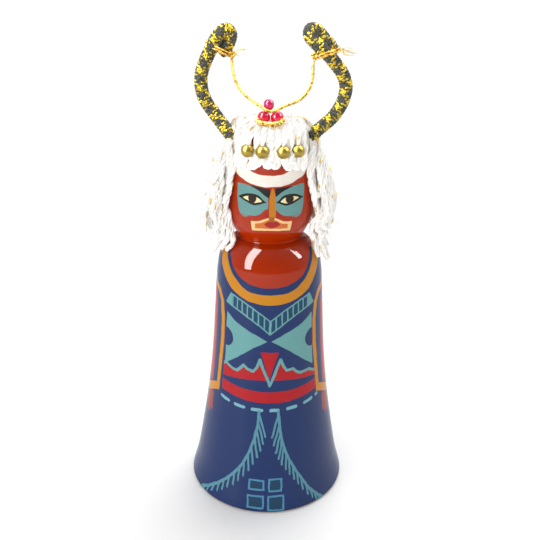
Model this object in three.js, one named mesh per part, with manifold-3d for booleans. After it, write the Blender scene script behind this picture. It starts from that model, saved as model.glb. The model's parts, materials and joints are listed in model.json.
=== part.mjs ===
// A small ornament in the style of a kachina doll: a turned and painted wooden figure with a yarn wig, a
// fringe with strung metal beads, two horns of braided cord over wire, glass beads on the brow and a thin
// gold cord between the horn tips. Millimetres, +Z up. The figure looks along -Y, and the origin is the
// middle of the flat base.
import * as THREE from "three";
import { mergeVertices } from "three/addons/utils/BufferGeometryUtils.js";
import Module from "manifold-3d";

const wasm = await Module();
wasm.setup();

// The gap left between pieces that touch.
const CLEARANCE = 0.3;

// Turned figure: radii and heights of the robe, the neck and the head.
const BASE_RADIUS = 25;
const BASE_EDGE = 0.9;
const KNEE_RADIUS = 21;
const KNEE_HEIGHT = 20;
const WAIST_RADIUS = 17.5;
const WAIST_HEIGHT = 49;
const CHEST_RADIUS = 16.2;
const CHEST_HEIGHT = 70;
const SHOULDER_RADIUS = 13.7;
const SHOULDER_HEIGHT = 80.3;
const NECK_RADIUS = 9.4;
const NECK_HEIGHT = 83.9;
const CHEEK_RADIUS = 12.95;
const CHEEK_ABOVE_NECK = 9.2;
const CROWN_RADIUS = 11.4;
const CROWN_ABOVE_NECK = 26;
const HEAD_HEIGHT = 33.2;
const CROWN_EDGE = 3.4;
const TURNED_SIDES = 32;

// Yarn wig: thick locks that hang from a cap on the crown.
const LOCK_RADIUS = 1.65;
const TAIL_RADIUS = 0.95;
const CAP_THICKNESS = 1.5;
const CAP_DEPTH = 6;
const HANK_BELOW_LOCKS = 1.6;
const WIG_SIDE_RADIUS = 18.3;
const WIG_BACK_RADIUS = 15.6;
const LOCK_WAVE = 3;
const LOCK_END_ABOVE_NECK = 2.5;
const TAIL_END_BELOW_NECK = 6.4;
const LOCK_SIDES = 5;
const LOCK_STEPS = 5;
const CAP_SIDES = 18;

// Fringe: short strands over the brow, four of them with a metal bead.
const STRAND_RADIUS = 1.05;
const STRAND_RISE = 1;
const STRAND_COUNT = 11;
const FRINGE_HALF_WIDTH = 9.6;
const FRINGE_LENGTH = 11.2;
const GOLD_BEAD_RADIUS = 1.85;
const GOLD_BEAD_BORE = 0.75;
const GOLD_BEAD_BELOW_TOP = 5.6;
const BEAD_STRANDS = [2, 4, 7, 9];
const BEAD_ACROSS = [-6.4, -2.4, 3.3, 7.3];

// Facets of every bead.
const BEAD_SIDES = 10;
const BEAD_RINGS = 6;

// Glass beads on the brow and the cord that cradles them.
const GLASS_BEAD_RADIUS = 1.75;
const GLASS_BEAD_BORE = 0.5;
const GLASS_BEAD_SPACING = 4.1;
const GLASS_BEAD_FORWARD = 8.8;
const GLASS_BEAD_OFFSET = -0.4;

// Horns: braided cord over wire, doubled back at the tip and tied.
const HORN_RADIUS = 1.7;
const HORN_SIDES = 8;
const HORN_STEPS = 32;

// Gold cord that hangs between the horn tips.
const CORD_DIAMETER = 0.9;
const CORD_SIDES = 6;
const CORD_STEPS = 28;
const TIE_RADIUS = 0.45;
const TIE_ACROSS = 4.1;
const TIE_DEEP = 3;
const KNOT_RADIUS = 1.1;
const CRADLE_RADIUS = 0.6;

// How far a cut or joined solid may be smoothed, to drop the slivers that its cuts leave.
const SMOOTHING = 0.06;

const HEAD_TOP = NECK_HEIGHT + HEAD_HEIGHT;
const RADIANS = Math.PI / 180;

// A closed geometry as a solid that can be joined and cut.
function solid(geometry) {
  const bare = geometry.clone();
  bare.deleteAttribute("normal");
  bare.deleteAttribute("uv");
  const merged = mergeVertices(bare, 1e-4);
  return new wasm.Manifold(
    new wasm.Mesh({
      numProp: 3,
      vertProperties: merged.attributes.position.array,
      triVerts: new Uint32Array(merged.index.array),
    }),
  );
}

function geometryOf(manifold) {
  const mesh = manifold.simplify(SMOOTHING).getMesh();
  const geometry = new THREE.BufferGeometry();
  geometry.setAttribute("position", new THREE.BufferAttribute(mesh.vertProperties.slice(), 3));
  geometry.setIndex(new THREE.BufferAttribute(mesh.triVerts.slice(), 1));
  geometry.computeVertexNormals();
  return geometry;
}

const joined = (solids) => solids.reduce((whole, next) => whole.add(next));

// A turned shape about the Z axis, from a profile of (radius, height) that starts and ends on the axis.
function turned(profile, sides) {
  return new THREE.LatheGeometry(profile, sides).rotateX(Math.PI / 2);
}

// A strand along a curve. It is turned about a straight axis first, with radiusAt giving its radius along
// the way, and is then bent onto the curve.
function strand(points, radiusAt, sides, steps) {
  const curve = new THREE.CatmullRomCurve3(points);
  const profile = [new THREE.Vector2(0, 0)];
  for (let i = 0; i <= steps; i++) profile.push(new THREE.Vector2(radiusAt(i / steps), i / steps));
  profile.push(new THREE.Vector2(0, 1));
  const geometry = new THREE.LatheGeometry(profile, sides);
  const frames = curve.computeFrenetFrames(steps, false);
  const position = geometry.attributes.position;
  for (let i = 0; i < position.count; i++) {
    const t = Math.min(Math.max(position.getY(i), 0), 1);
    const step = Math.round(t * steps);
    const bent = curve
      .getPointAt(t)
      .addScaledVector(frames.normals[step], position.getX(i))
      .addScaledVector(frames.binormals[step], -position.getZ(i));
    position.setXYZ(i, bent.x, bent.y, bent.z);
  }
  return geometry;
}

// A round cord of even thickness along a curve.
function roundCord(curve, radius, sides, steps) {
  const section = new THREE.Shape();
  section.absarc(0, 0, radius, 0, 2 * Math.PI);
  return new THREE.ExtrudeGeometry(section, {
    extrudePath: curve,
    steps,
    curveSegments: sides / 2,
    bevelEnabled: false,
  });
}

// A bead with a bore along Y, before it is turned and placed.
function bead(radius, bore, sides, rings) {
  const profile = [];
  const start = Math.asin(bore / radius);
  for (let i = 0; i <= rings; i++) {
    const angle = start + (i / rings) * (Math.PI - 2 * start);
    profile.push(new THREE.Vector2(radius * Math.sin(angle), -radius * Math.cos(angle)));
  }
  profile.push(profile[0].clone());
  return new THREE.LatheGeometry(profile, sides);
}

// Turned figure: one spline from the hem to the neck and one from the neck to the crown, with flat ends.
const robe = new THREE.SplineCurve([
  new THREE.Vector2(BASE_RADIUS, BASE_EDGE),
  new THREE.Vector2(KNEE_RADIUS, KNEE_HEIGHT),
  new THREE.Vector2(WAIST_RADIUS, WAIST_HEIGHT),
  new THREE.Vector2(CHEST_RADIUS, CHEST_HEIGHT),
  new THREE.Vector2(SHOULDER_RADIUS, SHOULDER_HEIGHT),
  new THREE.Vector2(NECK_RADIUS, NECK_HEIGHT),
]);
const head = new THREE.SplineCurve([
  new THREE.Vector2(NECK_RADIUS, NECK_HEIGHT),
  new THREE.Vector2(CHEEK_RADIUS, NECK_HEIGHT + CHEEK_ABOVE_NECK),
  new THREE.Vector2(CROWN_RADIUS, NECK_HEIGHT + CROWN_ABOVE_NECK),
  new THREE.Vector2(CROWN_RADIUS - 0.3 * CROWN_EDGE, HEAD_TOP - 0.45 * CROWN_EDGE),
  new THREE.Vector2(CROWN_RADIUS - CROWN_EDGE, HEAD_TOP),
]);
const ROBE_POINTS = 12;
const HEAD_POINTS = 10;
const outline = [...robe.getPoints(ROBE_POINTS), ...head.getPoints(HEAD_POINTS).slice(1)];

// The figure's profile, grown by an offset where it cuts what rests on the wood.
function figureProfile(offset) {
  const grown = outline.map((p) => new THREE.Vector2(p.x + offset, p.y));
  return [
    new THREE.Vector2(0, -offset),
    new THREE.Vector2(BASE_RADIUS - BASE_EDGE + offset, -offset),
    ...grown,
    new THREE.Vector2(CROWN_RADIUS - CROWN_EDGE, HEAD_TOP + offset),
    new THREE.Vector2(0, HEAD_TOP + offset),
  ].filter((p, i, all) => i === 0 || p.distanceTo(all[i - 1]) > 1e-6);
}

const figure = turned(figureProfile(0), TURNED_SIDES);
const figureSpace = solid(turned(figureProfile(CLEARANCE), CAP_SIDES));

// A point at an azimuth from straight ahead (-Y), positive towards +X, at a radius and height.
function around(azimuth, radius, height) {
  const angle = azimuth * RADIANS;
  return new THREE.Vector3(radius * Math.sin(angle), -radius * Math.cos(angle), height);
}

// A horn climbs from the crown, bows outwards, comes back in over the head and is doubled back on itself at
// the tip. Its places are given outwards from the crown's side, upwards from the head's top, and forwards.
const HORN_PATH = {
  left: [
    [-2.9, -7.2, 0], [0.9, -3.8, 0], [3.1, -1.3, 0], [5.6, 1.7, 0], [7.5, 4.8, 0], [8.9, 8.1, 0],
    [9.1, 11.3, 0], [8.2, 14.6, 0], [6.6, 17.4, 0.3], [5.3, 19.8, 0.7], [3.9, 22.6, 0.5], [2.2, 24.4, 0],
    [0.7, 23.4, -0.6], [1.2, 21.2, -0.8], [2.2, 18.8, -0.8],
  ],
  right: [
    [-3, -7, 0], [0.3, -3.2, 0], [3.6, -1.2, 0], [6.6, 1.4, 0], [8.7, 4.8, 0], [9.7, 8.1, 0], [9.5, 11.4, 0],
    [7.8, 14.3, 0], [5.4, 16.3, 0.2], [2.6, 18, 0.5], [0.4, 20, 0.6], [-1.2, 22.4, 0.4], [-0.9, 24.5, 0],
    [0.9, 24.3, -0.6], [2.4, 22.2, -0.9], [4.2, 20.2, -0.9], [6, 18.4, -0.9],
  ],
};

function horn(places, side, radius) {
  const points = places.map(
    ([out, up, forward]) => new THREE.Vector3(side * (CROWN_RADIUS + out), -forward, HEAD_TOP + up),
  );
  return solid(roundCord(new THREE.CatmullRomCurve3(points), radius, HORN_SIDES, HORN_STEPS));
}

const hornLeft = horn(HORN_PATH.left, -1, HORN_RADIUS).subtract(figureSpace);
const hornRight = horn(HORN_PATH.right, 1, HORN_RADIUS).subtract(figureSpace);
const hornSpace = horn(HORN_PATH.left, -1, HORN_RADIUS + CLEARANCE).add(
  horn(HORN_PATH.right, 1, HORN_RADIUS + CLEARANCE),
);

// Fringe: strands laid forward over the crown that drop down the brow. A bead strand swings out to clear the
// wood. The small offsets are shares of a strand's own radius.
const BEAD_RING = CROWN_RADIUS + CLEARANCE + GOLD_BEAD_RADIUS;
const STRAND_RING = CROWN_RADIUS + CLEARANCE + STRAND_RADIUS;
const BEAD_HEIGHT = HEAD_TOP - GOLD_BEAD_BELOW_TOP;

const strandAcross = (i) => FRINGE_HALF_WIDTH * ((2 * i) / (STRAND_COUNT - 1) - 1);
const beadAzimuth = (i) => Math.asin(BEAD_ACROSS[BEAD_STRANDS.indexOf(i)] / BEAD_RING) / RADIANS;

function fringeStrand(i) {
  const across = strandAcross(i);
  const azimuth = Math.asin((0.94 * across) / STRAND_RING) / RADIANS;
  const hasBead = BEAD_STRANDS.includes(i);
  const over = HEAD_TOP + CLEARANCE + STRAND_RISE - STRAND_RADIUS;
  const reach = Math.sqrt(STRAND_RING ** 2 - across ** 2);
  const hang = hasBead ? [beadAzimuth(i), BEAD_RING] : [azimuth, STRAND_RING];
  const tip = FRINGE_LENGTH - (i % 3) * 0.48 * STRAND_RADIUS;
  return strand(
    [
      new THREE.Vector3(0.8 * across, -STRAND_RADIUS, over),
      new THREE.Vector3(0.88 * across, -0.72 * reach, over),
      around(azimuth, STRAND_RING - 0.38 * STRAND_RADIUS, HEAD_TOP - 0.45 * CROWN_EDGE),
      around(hang[0], hang[1], BEAD_HEIGHT),
      around(azimuth, STRAND_RING + 0.1 * STRAND_RADIUS, BEAD_HEIGHT - 0.5 * (tip - GOLD_BEAD_BELOW_TOP)),
      around(azimuth, STRAND_RING + 0.57 * STRAND_RADIUS, HEAD_TOP - tip),
    ],
    (t) => STRAND_RADIUS * (t > 0.95 ? 0.7 : 1),
    LOCK_SIDES,
    LOCK_STEPS,
  );
}

function beadPlace(i) {
  return around(beadAzimuth(i), BEAD_RING, BEAD_HEIGHT);
}

// The thin end of a strand that a bead is strung on.
function beadThread(i) {
  const half = GOLD_BEAD_RADIUS + 1.05 * STRAND_RADIUS;
  const place = beadPlace(i);
  const low = place.clone().setZ(place.z - half);
  const high = place.clone().setZ(place.z + half);
  return roundCord(new THREE.LineCurve3(low, high), GOLD_BEAD_BORE - CLEARANCE, LOCK_SIDES, 1);
}

const strandNumbers = [...Array(STRAND_COUNT).keys()];
const beadSpace = joined(
  BEAD_STRANDS.map((i) => {
    const place = beadPlace(i);
    const room = new THREE.SphereGeometry(1.2 * (GOLD_BEAD_RADIUS + CLEARANCE), 6, 4);
    return solid(room.translate(place.x, place.y, place.z));
  }),
);
const fringe = joined(strandNumbers.map((i) => solid(fringeStrand(i))))
  .subtract(beadSpace)
  .add(joined(BEAD_STRANDS.map((i) => solid(beadThread(i)))))
  .subtract(figureSpace)
  .subtract(hornSpace);

// Wig: a cap over the back of the crown, with locks round the sides and back and thin tails under them. The
// small offsets are shares of a lock's or a tail's own radius.
const capSpace = CLEARANCE + CAP_THICKNESS;
const HANK_FOOT = NECK_HEIGHT + LOCK_END_ABOVE_NECK;
const cap = turned(
  [
    new THREE.Vector2(0, HANK_FOOT),
    new THREE.Vector2(CHEEK_RADIUS + 0.6 * LOCK_RADIUS, HANK_FOOT),
    new THREE.Vector2(WIG_BACK_RADIUS - HANK_BELOW_LOCKS, NECK_HEIGHT + CHEEK_ABOVE_NECK),
    new THREE.Vector2(CROWN_RADIUS + 1.22 * capSpace, HEAD_TOP - 2 * CAP_DEPTH),
    new THREE.Vector2(CROWN_RADIUS + 0.89 * capSpace, HEAD_TOP - 0.6 * CAP_DEPTH),
    new THREE.Vector2(CROWN_RADIUS + 0.11 * capSpace, HEAD_TOP),
    new THREE.Vector2(CROWN_RADIUS - 0.85 * CROWN_EDGE, HEAD_TOP + capSpace),
    new THREE.Vector2(0, HEAD_TOP + capSpace),
  ],
  CAP_SIDES,
);
const browCut = new THREE.BoxGeometry(3 * CROWN_RADIUS, 2 * CROWN_RADIUS, 3 * HEAD_HEIGHT).translate(
  0,
  -CROWN_RADIUS,
  HEAD_TOP,
);

// A lock's radius from the axis where it swells most, less towards the back of the head.
function swell(azimuth) {
  const side = Math.max(0, Math.sin(Math.abs(azimuth) * RADIANS));
  return WIG_BACK_RADIUS + (WIG_SIDE_RADIUS - WIG_BACK_RADIUS) * side ** 2;
}

function lock(azimuth, number) {
  const wave = number % 2 ? LOCK_WAVE : -LOCK_WAVE;
  const belly = swell(azimuth) - (number % 2) * 0.73 * LOCK_RADIUS;
  const upper = 0.5 * (CROWN_RADIUS + belly) + LOCK_RADIUS;
  const end = NECK_HEIGHT + LOCK_END_ABOVE_NECK - (number % 3) * 0.97 * LOCK_RADIUS;
  return strand(
    [
      around(azimuth, CROWN_RADIUS - 0.6 * LOCK_RADIUS, HEAD_TOP - 0.36 * LOCK_RADIUS),
      around(azimuth, CROWN_RADIUS + 1.55 * LOCK_RADIUS, HEAD_TOP - CAP_DEPTH),
      around(azimuth - wave, upper, NECK_HEIGHT + 2.05 * CHEEK_ABOVE_NECK),
      around(azimuth + wave, belly, NECK_HEIGHT + CHEEK_ABOVE_NECK),
      around(azimuth, belly - 0.67 * LOCK_RADIUS, end),
    ],
    (t) => LOCK_RADIUS * (t < 0.99 ? 1 : 0.75),
    LOCK_SIDES,
    LOCK_STEPS,
  );
}

// A thin tail that leaves the inside of a lock and falls over the shoulder.
function tail(azimuth, number) {
  const foot = NECK_HEIGHT - TAIL_END_BELOW_NECK + (number % 3) * 1.26 * TAIL_RADIUS;
  return strand(
    [
      around(azimuth, swell(azimuth) - 1.26 * TAIL_RADIUS, NECK_HEIGHT + CHEEK_ABOVE_NECK),
      around(azimuth, swell(azimuth) - 2.52 * TAIL_RADIUS, NECK_HEIGHT + LOCK_END_ABOVE_NECK),
      around(azimuth + LOCK_WAVE, CHEST_RADIUS + 1.95 * TAIL_RADIUS, foot),
    ],
    (t) => TAIL_RADIUS * (t < 0.99 ? 1 : 0.6),
    LOCK_SIDES - 1,
    3,
  );
}

const LOCKS = [-121, -107, -93, -79, 68, 82, 96, 110, 124, 142, 160, 178, 196, 214, 228];
const TAILS = [-121, -107, -93, -79, 68, 82, 96, 110, 160, 196];

const wig = joined([
  solid(cap).subtract(solid(browCut)),
  ...LOCKS.map((azimuth, i) => solid(lock(azimuth, i))),
  ...TAILS.map((azimuth, i) => solid(tail(azimuth, i))),
])
  .subtract(figureSpace)
  .subtract(hornSpace);

const fringeSpace = joined([...strandNumbers.map((i) => solid(fringeStrand(i))), beadSpace]);
const wigClear = wig.subtract(fringeSpace);

// Glass beads: two side by side over the front of the crown and one on top of them, bores along X.
const BEAD_SEAT = HEAD_TOP + STRAND_RISE;
const GLASS_ROW = BEAD_SEAT + GLASS_BEAD_RADIUS;
const GLASS_PEAK = GLASS_ROW + 0.9 * GLASS_BEAD_SPACING;

function glassBead(across, height) {
  return bead(GLASS_BEAD_RADIUS, GLASS_BEAD_BORE, BEAD_SIDES, BEAD_RINGS)
    .rotateZ(Math.PI / 2)
    .translate(GLASS_BEAD_OFFSET + across, -GLASS_BEAD_FORWARD, height);
}

// The cord that cradles the two lower glass beads, seen in front of and under them. Its places are shares
// of the beads' spacing across and of their radius back and up.
const CRADLE_STEPS = 12;
const CRADLE_FORWARD = GLASS_BEAD_FORWARD + GLASS_BEAD_RADIUS + CORD_DIAMETER / 2 + CLEARANCE;
const cradlePoint = (across, back, up) =>
  new THREE.Vector3(
    GLASS_BEAD_OFFSET + across * GLASS_BEAD_SPACING,
    back * GLASS_BEAD_RADIUS - CRADLE_FORWARD,
    GLASS_ROW + up * GLASS_BEAD_RADIUS,
  );
const cradle = roundCord(
  new THREE.CatmullRomCurve3([
    cradlePoint(-1, 0.69, 0.11),
    cradlePoint(-0.85, 0, -0.69),
    cradlePoint(0, 0, -0.91),
    cradlePoint(0.85, 0, -0.69),
    cradlePoint(1, 0.69, 0.11),
  ]),
  CRADLE_RADIUS,
  CORD_SIDES,
  CRADLE_STEPS,
);

// Ties: a ring of gold thread round each doubled horn tip. A tie's middle and lean are given as the horn's
// places are, and its knot sits a little forward, at the end of the ring nearer the head's middle.
const TIES = { left: { out: 3.75, up: 19.4, lean: 12 }, right: { out: 3.1, up: 19.6, lean: 36 } };
const KNOT_FORWARD = 0.8;
const RING_POINTS = 10;

function tieMiddle(tie, side) {
  return new THREE.Vector3(side * (CROWN_RADIUS + tie.out), 0, HEAD_TOP + tie.up);
}

function knotPlace(tie, side) {
  const lean = tie.lean * RADIANS;
  return tieMiddle(tie, side).add(
    new THREE.Vector3(-side * TIE_ACROSS * Math.cos(lean), -KNOT_FORWARD, -TIE_ACROSS * Math.sin(lean)),
  );
}

function tieOf(tie, side) {
  const ring = new THREE.CatmullRomCurve3(
    [...Array(RING_POINTS).keys()].map((i) => {
      const turn = (i / RING_POINTS) * 2 * Math.PI;
      return new THREE.Vector3(TIE_ACROSS * Math.cos(turn), TIE_DEEP * Math.sin(turn), 0);
    }),
    true,
  );
  const band = new THREE.TubeGeometry(ring, 14, TIE_RADIUS, 5, true);
  band.rotateY(-side * tie.lean * RADIANS);
  const middle = tieMiddle(tie, side);
  band.translate(middle.x, middle.y, middle.z);
  const knot = knotPlace(tie, side);
  return solid(band)
    .add(solid(new THREE.SphereGeometry(KNOT_RADIUS, 8, 6).translate(knot.x, knot.y, knot.z)))
    .subtract(hornSpace);
}

const tieLeft = tieOf(TIES.left, -1);
const tieRight = tieOf(TIES.right, 1);

// The hanging cord starts just under one knot, passes between the top glass bead and the pair below, and
// ends just under the other knot. Its points give places across, forward, and up from the head's top.
function underKnot(tie, side) {
  const knot = knotPlace(tie, side);
  return knot.setZ(knot.z - KNOT_RADIUS - CLEARANCE);
}

const SAG_HEIGHT = GLASS_ROW + 0.55 * (GLASS_PEAK - GLASS_ROW);
const SAG_FORWARD = GLASS_BEAD_FORWARD + GLASS_BEAD_RADIUS;
const cordPoint = (across, forward, up) => new THREE.Vector3(across, -forward, HEAD_TOP + up);
const cordCurve = new THREE.CatmullRomCurve3([
  underKnot(TIES.left, -1),
  cordPoint(-10.85, 1.9, 15),
  cordPoint(-10.4, 3, 12.9),
  cordPoint(-9.3, 4, 10.4),
  cordPoint(-7.6, 5.5, 8.6),
  cordPoint(-5.4, 7.5, 7.1),
  cordPoint(-2.9, 9.6, 5.9),
  cordPoint(-1.7, 10.4, 5.2),
  new THREE.Vector3(GLASS_BEAD_OFFSET, -SAG_FORWARD, SAG_HEIGHT),
  cordPoint(1.5, 10.4, 5.2),
  cordPoint(3.3, 9.6, 6),
  cordPoint(6.3, 7.5, 6.8),
  cordPoint(8.4, 5.5, 7.8),
  cordPoint(10, 4, 9.6),
  cordPoint(11, 3, 12),
  cordPoint(11.15, 1.9, 14),
  underKnot(TIES.right, 1),
]);

const group = new THREE.Group();

function place(name, geometry, color, roughness, metalness) {
  const material = new THREE.MeshStandardMaterial({ color, roughness, metalness });
  const mesh = new THREE.Mesh(geometry, material);
  mesh.name = name;
  group.add(mesh);
}

place("doll_body", figure, 0x2b3066, 0.25, 0);
place("wig", geometryOf(wigClear), 0xf3efe6, 0.9, 0);
place("fringe", geometryOf(fringe), 0xf6f2ea, 0.9, 0);
BEAD_STRANDS.forEach((i, n) => {
  const p = beadPlace(i);
  const upright = bead(GOLD_BEAD_RADIUS, GOLD_BEAD_BORE, BEAD_SIDES, BEAD_RINGS).rotateX(Math.PI / 2);
  place(`gold_bead_${n + 1}`, upright.translate(p.x, p.y, p.z), 0xb5942c, 0.25, 1);
});
place("glass_bead_left", glassBead(-GLASS_BEAD_SPACING / 2, GLASS_ROW), 0xc8102e, 0.12, 0);
place("glass_bead_right", glassBead(GLASS_BEAD_SPACING / 2, GLASS_ROW), 0xc8102e, 0.12, 0);
place("glass_bead_top", glassBead(0, GLASS_PEAK), 0xd01c6a, 0.12, 0);
place("bead_cradle", cradle, 0xc99a2e, 0.35, 1);
place("horn_left", geometryOf(hornLeft), 0x3c3f36, 0.7, 0.2);
place("horn_right", geometryOf(hornRight), 0x3c3f36, 0.7, 0.2);

place("cord_tie_left", geometryOf(tieLeft), 0xb98a22, 0.4, 1);
place("cord_tie_right", geometryOf(tieRight), 0xb98a22, 0.4, 1);
place("hanging_cord", roundCord(cordCurve, CORD_DIAMETER / 2, CORD_SIDES, CORD_STEPS), 0xc99a2e, 0.35, 1);

export default group;
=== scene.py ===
import json
import math
import random
import bpy
from mathutils import Matrix, Vector

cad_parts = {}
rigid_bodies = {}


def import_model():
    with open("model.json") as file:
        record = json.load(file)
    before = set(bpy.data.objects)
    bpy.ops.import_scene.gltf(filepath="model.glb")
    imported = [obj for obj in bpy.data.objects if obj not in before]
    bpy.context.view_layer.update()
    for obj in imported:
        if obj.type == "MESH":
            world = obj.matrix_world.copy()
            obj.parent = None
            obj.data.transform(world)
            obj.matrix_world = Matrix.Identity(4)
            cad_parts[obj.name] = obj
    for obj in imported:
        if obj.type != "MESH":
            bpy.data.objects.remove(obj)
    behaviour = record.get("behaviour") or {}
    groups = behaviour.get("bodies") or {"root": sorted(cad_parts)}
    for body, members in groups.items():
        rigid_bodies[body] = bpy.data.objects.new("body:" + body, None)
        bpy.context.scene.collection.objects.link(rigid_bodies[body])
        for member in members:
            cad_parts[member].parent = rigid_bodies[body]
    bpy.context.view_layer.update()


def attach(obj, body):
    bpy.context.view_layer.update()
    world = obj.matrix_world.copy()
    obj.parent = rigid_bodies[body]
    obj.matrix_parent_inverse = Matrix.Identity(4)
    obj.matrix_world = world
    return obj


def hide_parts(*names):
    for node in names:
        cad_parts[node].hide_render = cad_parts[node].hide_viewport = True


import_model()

# Camera: a 48 mm lens about 25 cm from the doll, which looks down on the hem and almost level at the
# horn tips. The picture leans by less than a degree.
MM = 0.001
PICTURE_WIDTH = 540
FOCAL_LENGTH = 720
SENSOR_WIDTH = 36
CAMERA_PLACE = Vector((0, -0.20487, 0.15482))
CAMERA_DOWN = math.radians(22.042)
CAMERA_LEAN = math.radians(0.84)
MIDDLE_SHIFT = 0.6

camera_data = bpy.data.cameras.new("photo_camera")
camera_data.sensor_width = SENSOR_WIDTH
camera_data.lens = SENSOR_WIDTH * FOCAL_LENGTH / PICTURE_WIDTH
camera_data.shift_x = MIDDLE_SHIFT / PICTURE_WIDTH
camera_data.clip_start = 0.01
camera = bpy.data.objects.new("photo_camera", camera_data)
bpy.context.scene.collection.objects.link(camera)
turn = Matrix.Rotation(math.pi / 2 - CAMERA_DOWN, 4, "X") @ Matrix.Rotation(CAMERA_LEAN, 4, "Z")
camera.matrix_world = Matrix.Translation(CAMERA_PLACE) @ turn
bpy.context.scene.camera = camera
bpy.context.scene.view_settings.view_transform = "Standard"


# Hanging cord: a thin gold cord of three metallised plies. It is knotted to both horn tips, hangs by
# its own weight and rests in the groove between the three glass beads.
CORD_DIAMETER = 0.0009
CORD_ROUTE = [
    (-0.01114, -0.0008, 0.13425), (-0.01085, -0.0019, 0.1321), (-0.0104, -0.003, 0.13),
    (-0.0093, -0.004, 0.1275), (-0.0076, -0.0055, 0.1257), (-0.0054, -0.0075, 0.1242),
    (-0.0029, -0.0096, 0.123), (-0.0017, -0.0104, 0.1223), (-0.0004, -0.01055, 0.12188),
    (0.0015, -0.0104, 0.1223), (0.0033, -0.0096, 0.1231), (0.0063, -0.0075, 0.1239),
    (0.0084, -0.0055, 0.1249), (0.01, -0.004, 0.1267), (0.011, -0.003, 0.1291),
    (0.01115, -0.0019, 0.1311), (0.01118, -0.0008, 0.13289),
]
GOLD_BRIGHT = (0.92, 0.62, 0.14)
GOLD_WORN = (0.36, 0.17, 0.02)


class Wire:
    """One socket of a node tree. Arithmetic on wires adds Math nodes."""

    def __init__(self, tree, socket):
        self.tree = tree
        self.socket = socket

    def other(self, output):
        return Wire(self.tree, self.socket.node.outputs[output])

    def math(self, operation, *others, clamp=False):
        settings = {"operation": operation, "use_clamp": clamp}
        return self.tree.add("ShaderNodeMath", settings, [self, *others])

    def vector(self, operation, *others, output="Vector"):
        return self.tree.add("ShaderNodeVectorMath", {"operation": operation}, [self, *others], output)

    def times(self, factor):
        values = {"Vector": self, "Scale": factor}
        return self.tree.add("ShaderNodeVectorMath", {"operation": "SCALE"}, values)

    def __add__(self, other):
        return self.math("ADD", other)

    __radd__ = __add__

    def __sub__(self, other):
        return self.math("SUBTRACT", other)

    def __rsub__(self, other):
        return self.tree.add("ShaderNodeMath", {"operation": "SUBTRACT"}, [other, self])

    def __mul__(self, other):
        return self.math("MULTIPLY", other)

    __rmul__ = __mul__

    def __truediv__(self, other):
        return self.math("DIVIDE", other)

    def __rtruediv__(self, other):
        return self.tree.add("ShaderNodeMath", {"operation": "DIVIDE"}, [other, self])

    def __abs__(self):
        return self.math("ABSOLUTE")

    def over(self, limit, edge):
        """1 where the value is over the limit and 0 under it, with a soft edge this wide."""
        return (self - limit).math("MULTIPLY_ADD", 1 / edge, 0.5, clamp=True)

    def under(self, limit, edge):
        return (self - limit).math("MULTIPLY_ADD", -1 / edge, 0.5, clamp=True)


class Tree:
    """The nodes of a material or a geometry tree, each added with its settings and socket values."""

    def __init__(self, nodes):
        self.nodes = nodes

    def add(self, kind, settings=None, values=(), output=0):
        node = self.nodes.nodes.new(kind)
        for name, setting in (settings or {}).items():
            if name == "outline":
                self.set_outline(node.mapping, *setting)
            else:
                setattr(node, name, setting)
        for socket, value in values.items() if isinstance(values, dict) else enumerate(values):
            if isinstance(value, Wire):
                self.nodes.links.new(value.socket, node.inputs[socket])
            else:
                node.inputs[socket].default_value = value
        return Wire(self, node.outputs[output]) if node.outputs else node

    def set_outline(self, mapping, handle, places):
        points = mapping.curves[0].points
        while len(points) < len(places):
            points.new(1, 1)
        for point, place in zip(points, places):
            point.location = place
            point.handle_type = handle
        mapping.extend = "HORIZONTAL"
        mapping.update()

    def mix(self, factor, first, second):
        """A blend of two colours: the first where the factor is 0 and the second where it is 1."""
        colours = [(*colour, 1) if isinstance(colour, tuple) else colour for colour in (first, second)]
        values = {0: factor, 6: colours[0], 7: colours[1]}
        return self.add("ShaderNodeMix", {"data_type": "RGBA"}, values, 2)

    def noise(self, place, size, detail=2.0, output="Fac"):
        """Noise whose lumps are about this many metres across."""
        values = {"Vector": place, "Scale": 1 / size, "Detail": detail}
        return self.add("ShaderNodeTexNoise", None, values, output)

    def bump(self, height, depth, strength=1.0):
        values = {"Height": height, "Distance": depth, "Strength": strength}
        return self.add("ShaderNodeBump", None, values)

    def here(self):
        return self.add("ShaderNodeTexCoord", None, (), "Object")


def material_of(name, surface):
    """A material from a function that takes the tree and gives the values of the shader's sockets."""
    material = bpy.data.materials.new(name)
    material.use_nodes = True
    material.node_tree.nodes.clear()
    tree = Tree(material.node_tree)
    shader = tree.add("ShaderNodeBsdfPrincipled", None, surface(tree))
    tree.add("ShaderNodeOutputMaterial", None, {"Surface": shader})
    return material


def through(points, steps):
    """A smooth line through points: a centripetal Catmull-Rom spline with this many steps to each span."""

    def between(first, second, start, end, at):
        return first + (second - first) * ((at - start) / (end - start))

    ends = [2 * points[0] - points[1], *points, 2 * points[-1] - points[-2]]
    line = []
    for a, b, c, d in zip(ends, ends[1:], ends[2:], ends[3:]):
        k1 = math.sqrt((b - a).length)
        k2 = k1 + math.sqrt((c - b).length)
        k3 = k2 + math.sqrt((d - c).length)
        for step in range(steps):
            at = k1 + (k2 - k1) * step / steps
            ab = between(a, b, 0, k1, at)
            bc = between(b, c, k1, k2, at)
            cd = between(c, d, k2, k3, at)
            line.append(between(between(ab, bc, 0, k2, at), between(bc, cd, k1, k3, at), k1, k2, at))
    line.append(points[-1])
    return line


def length_of(line):
    return sum((after - before).length for before, after in zip(line, line[1:]))


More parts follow.
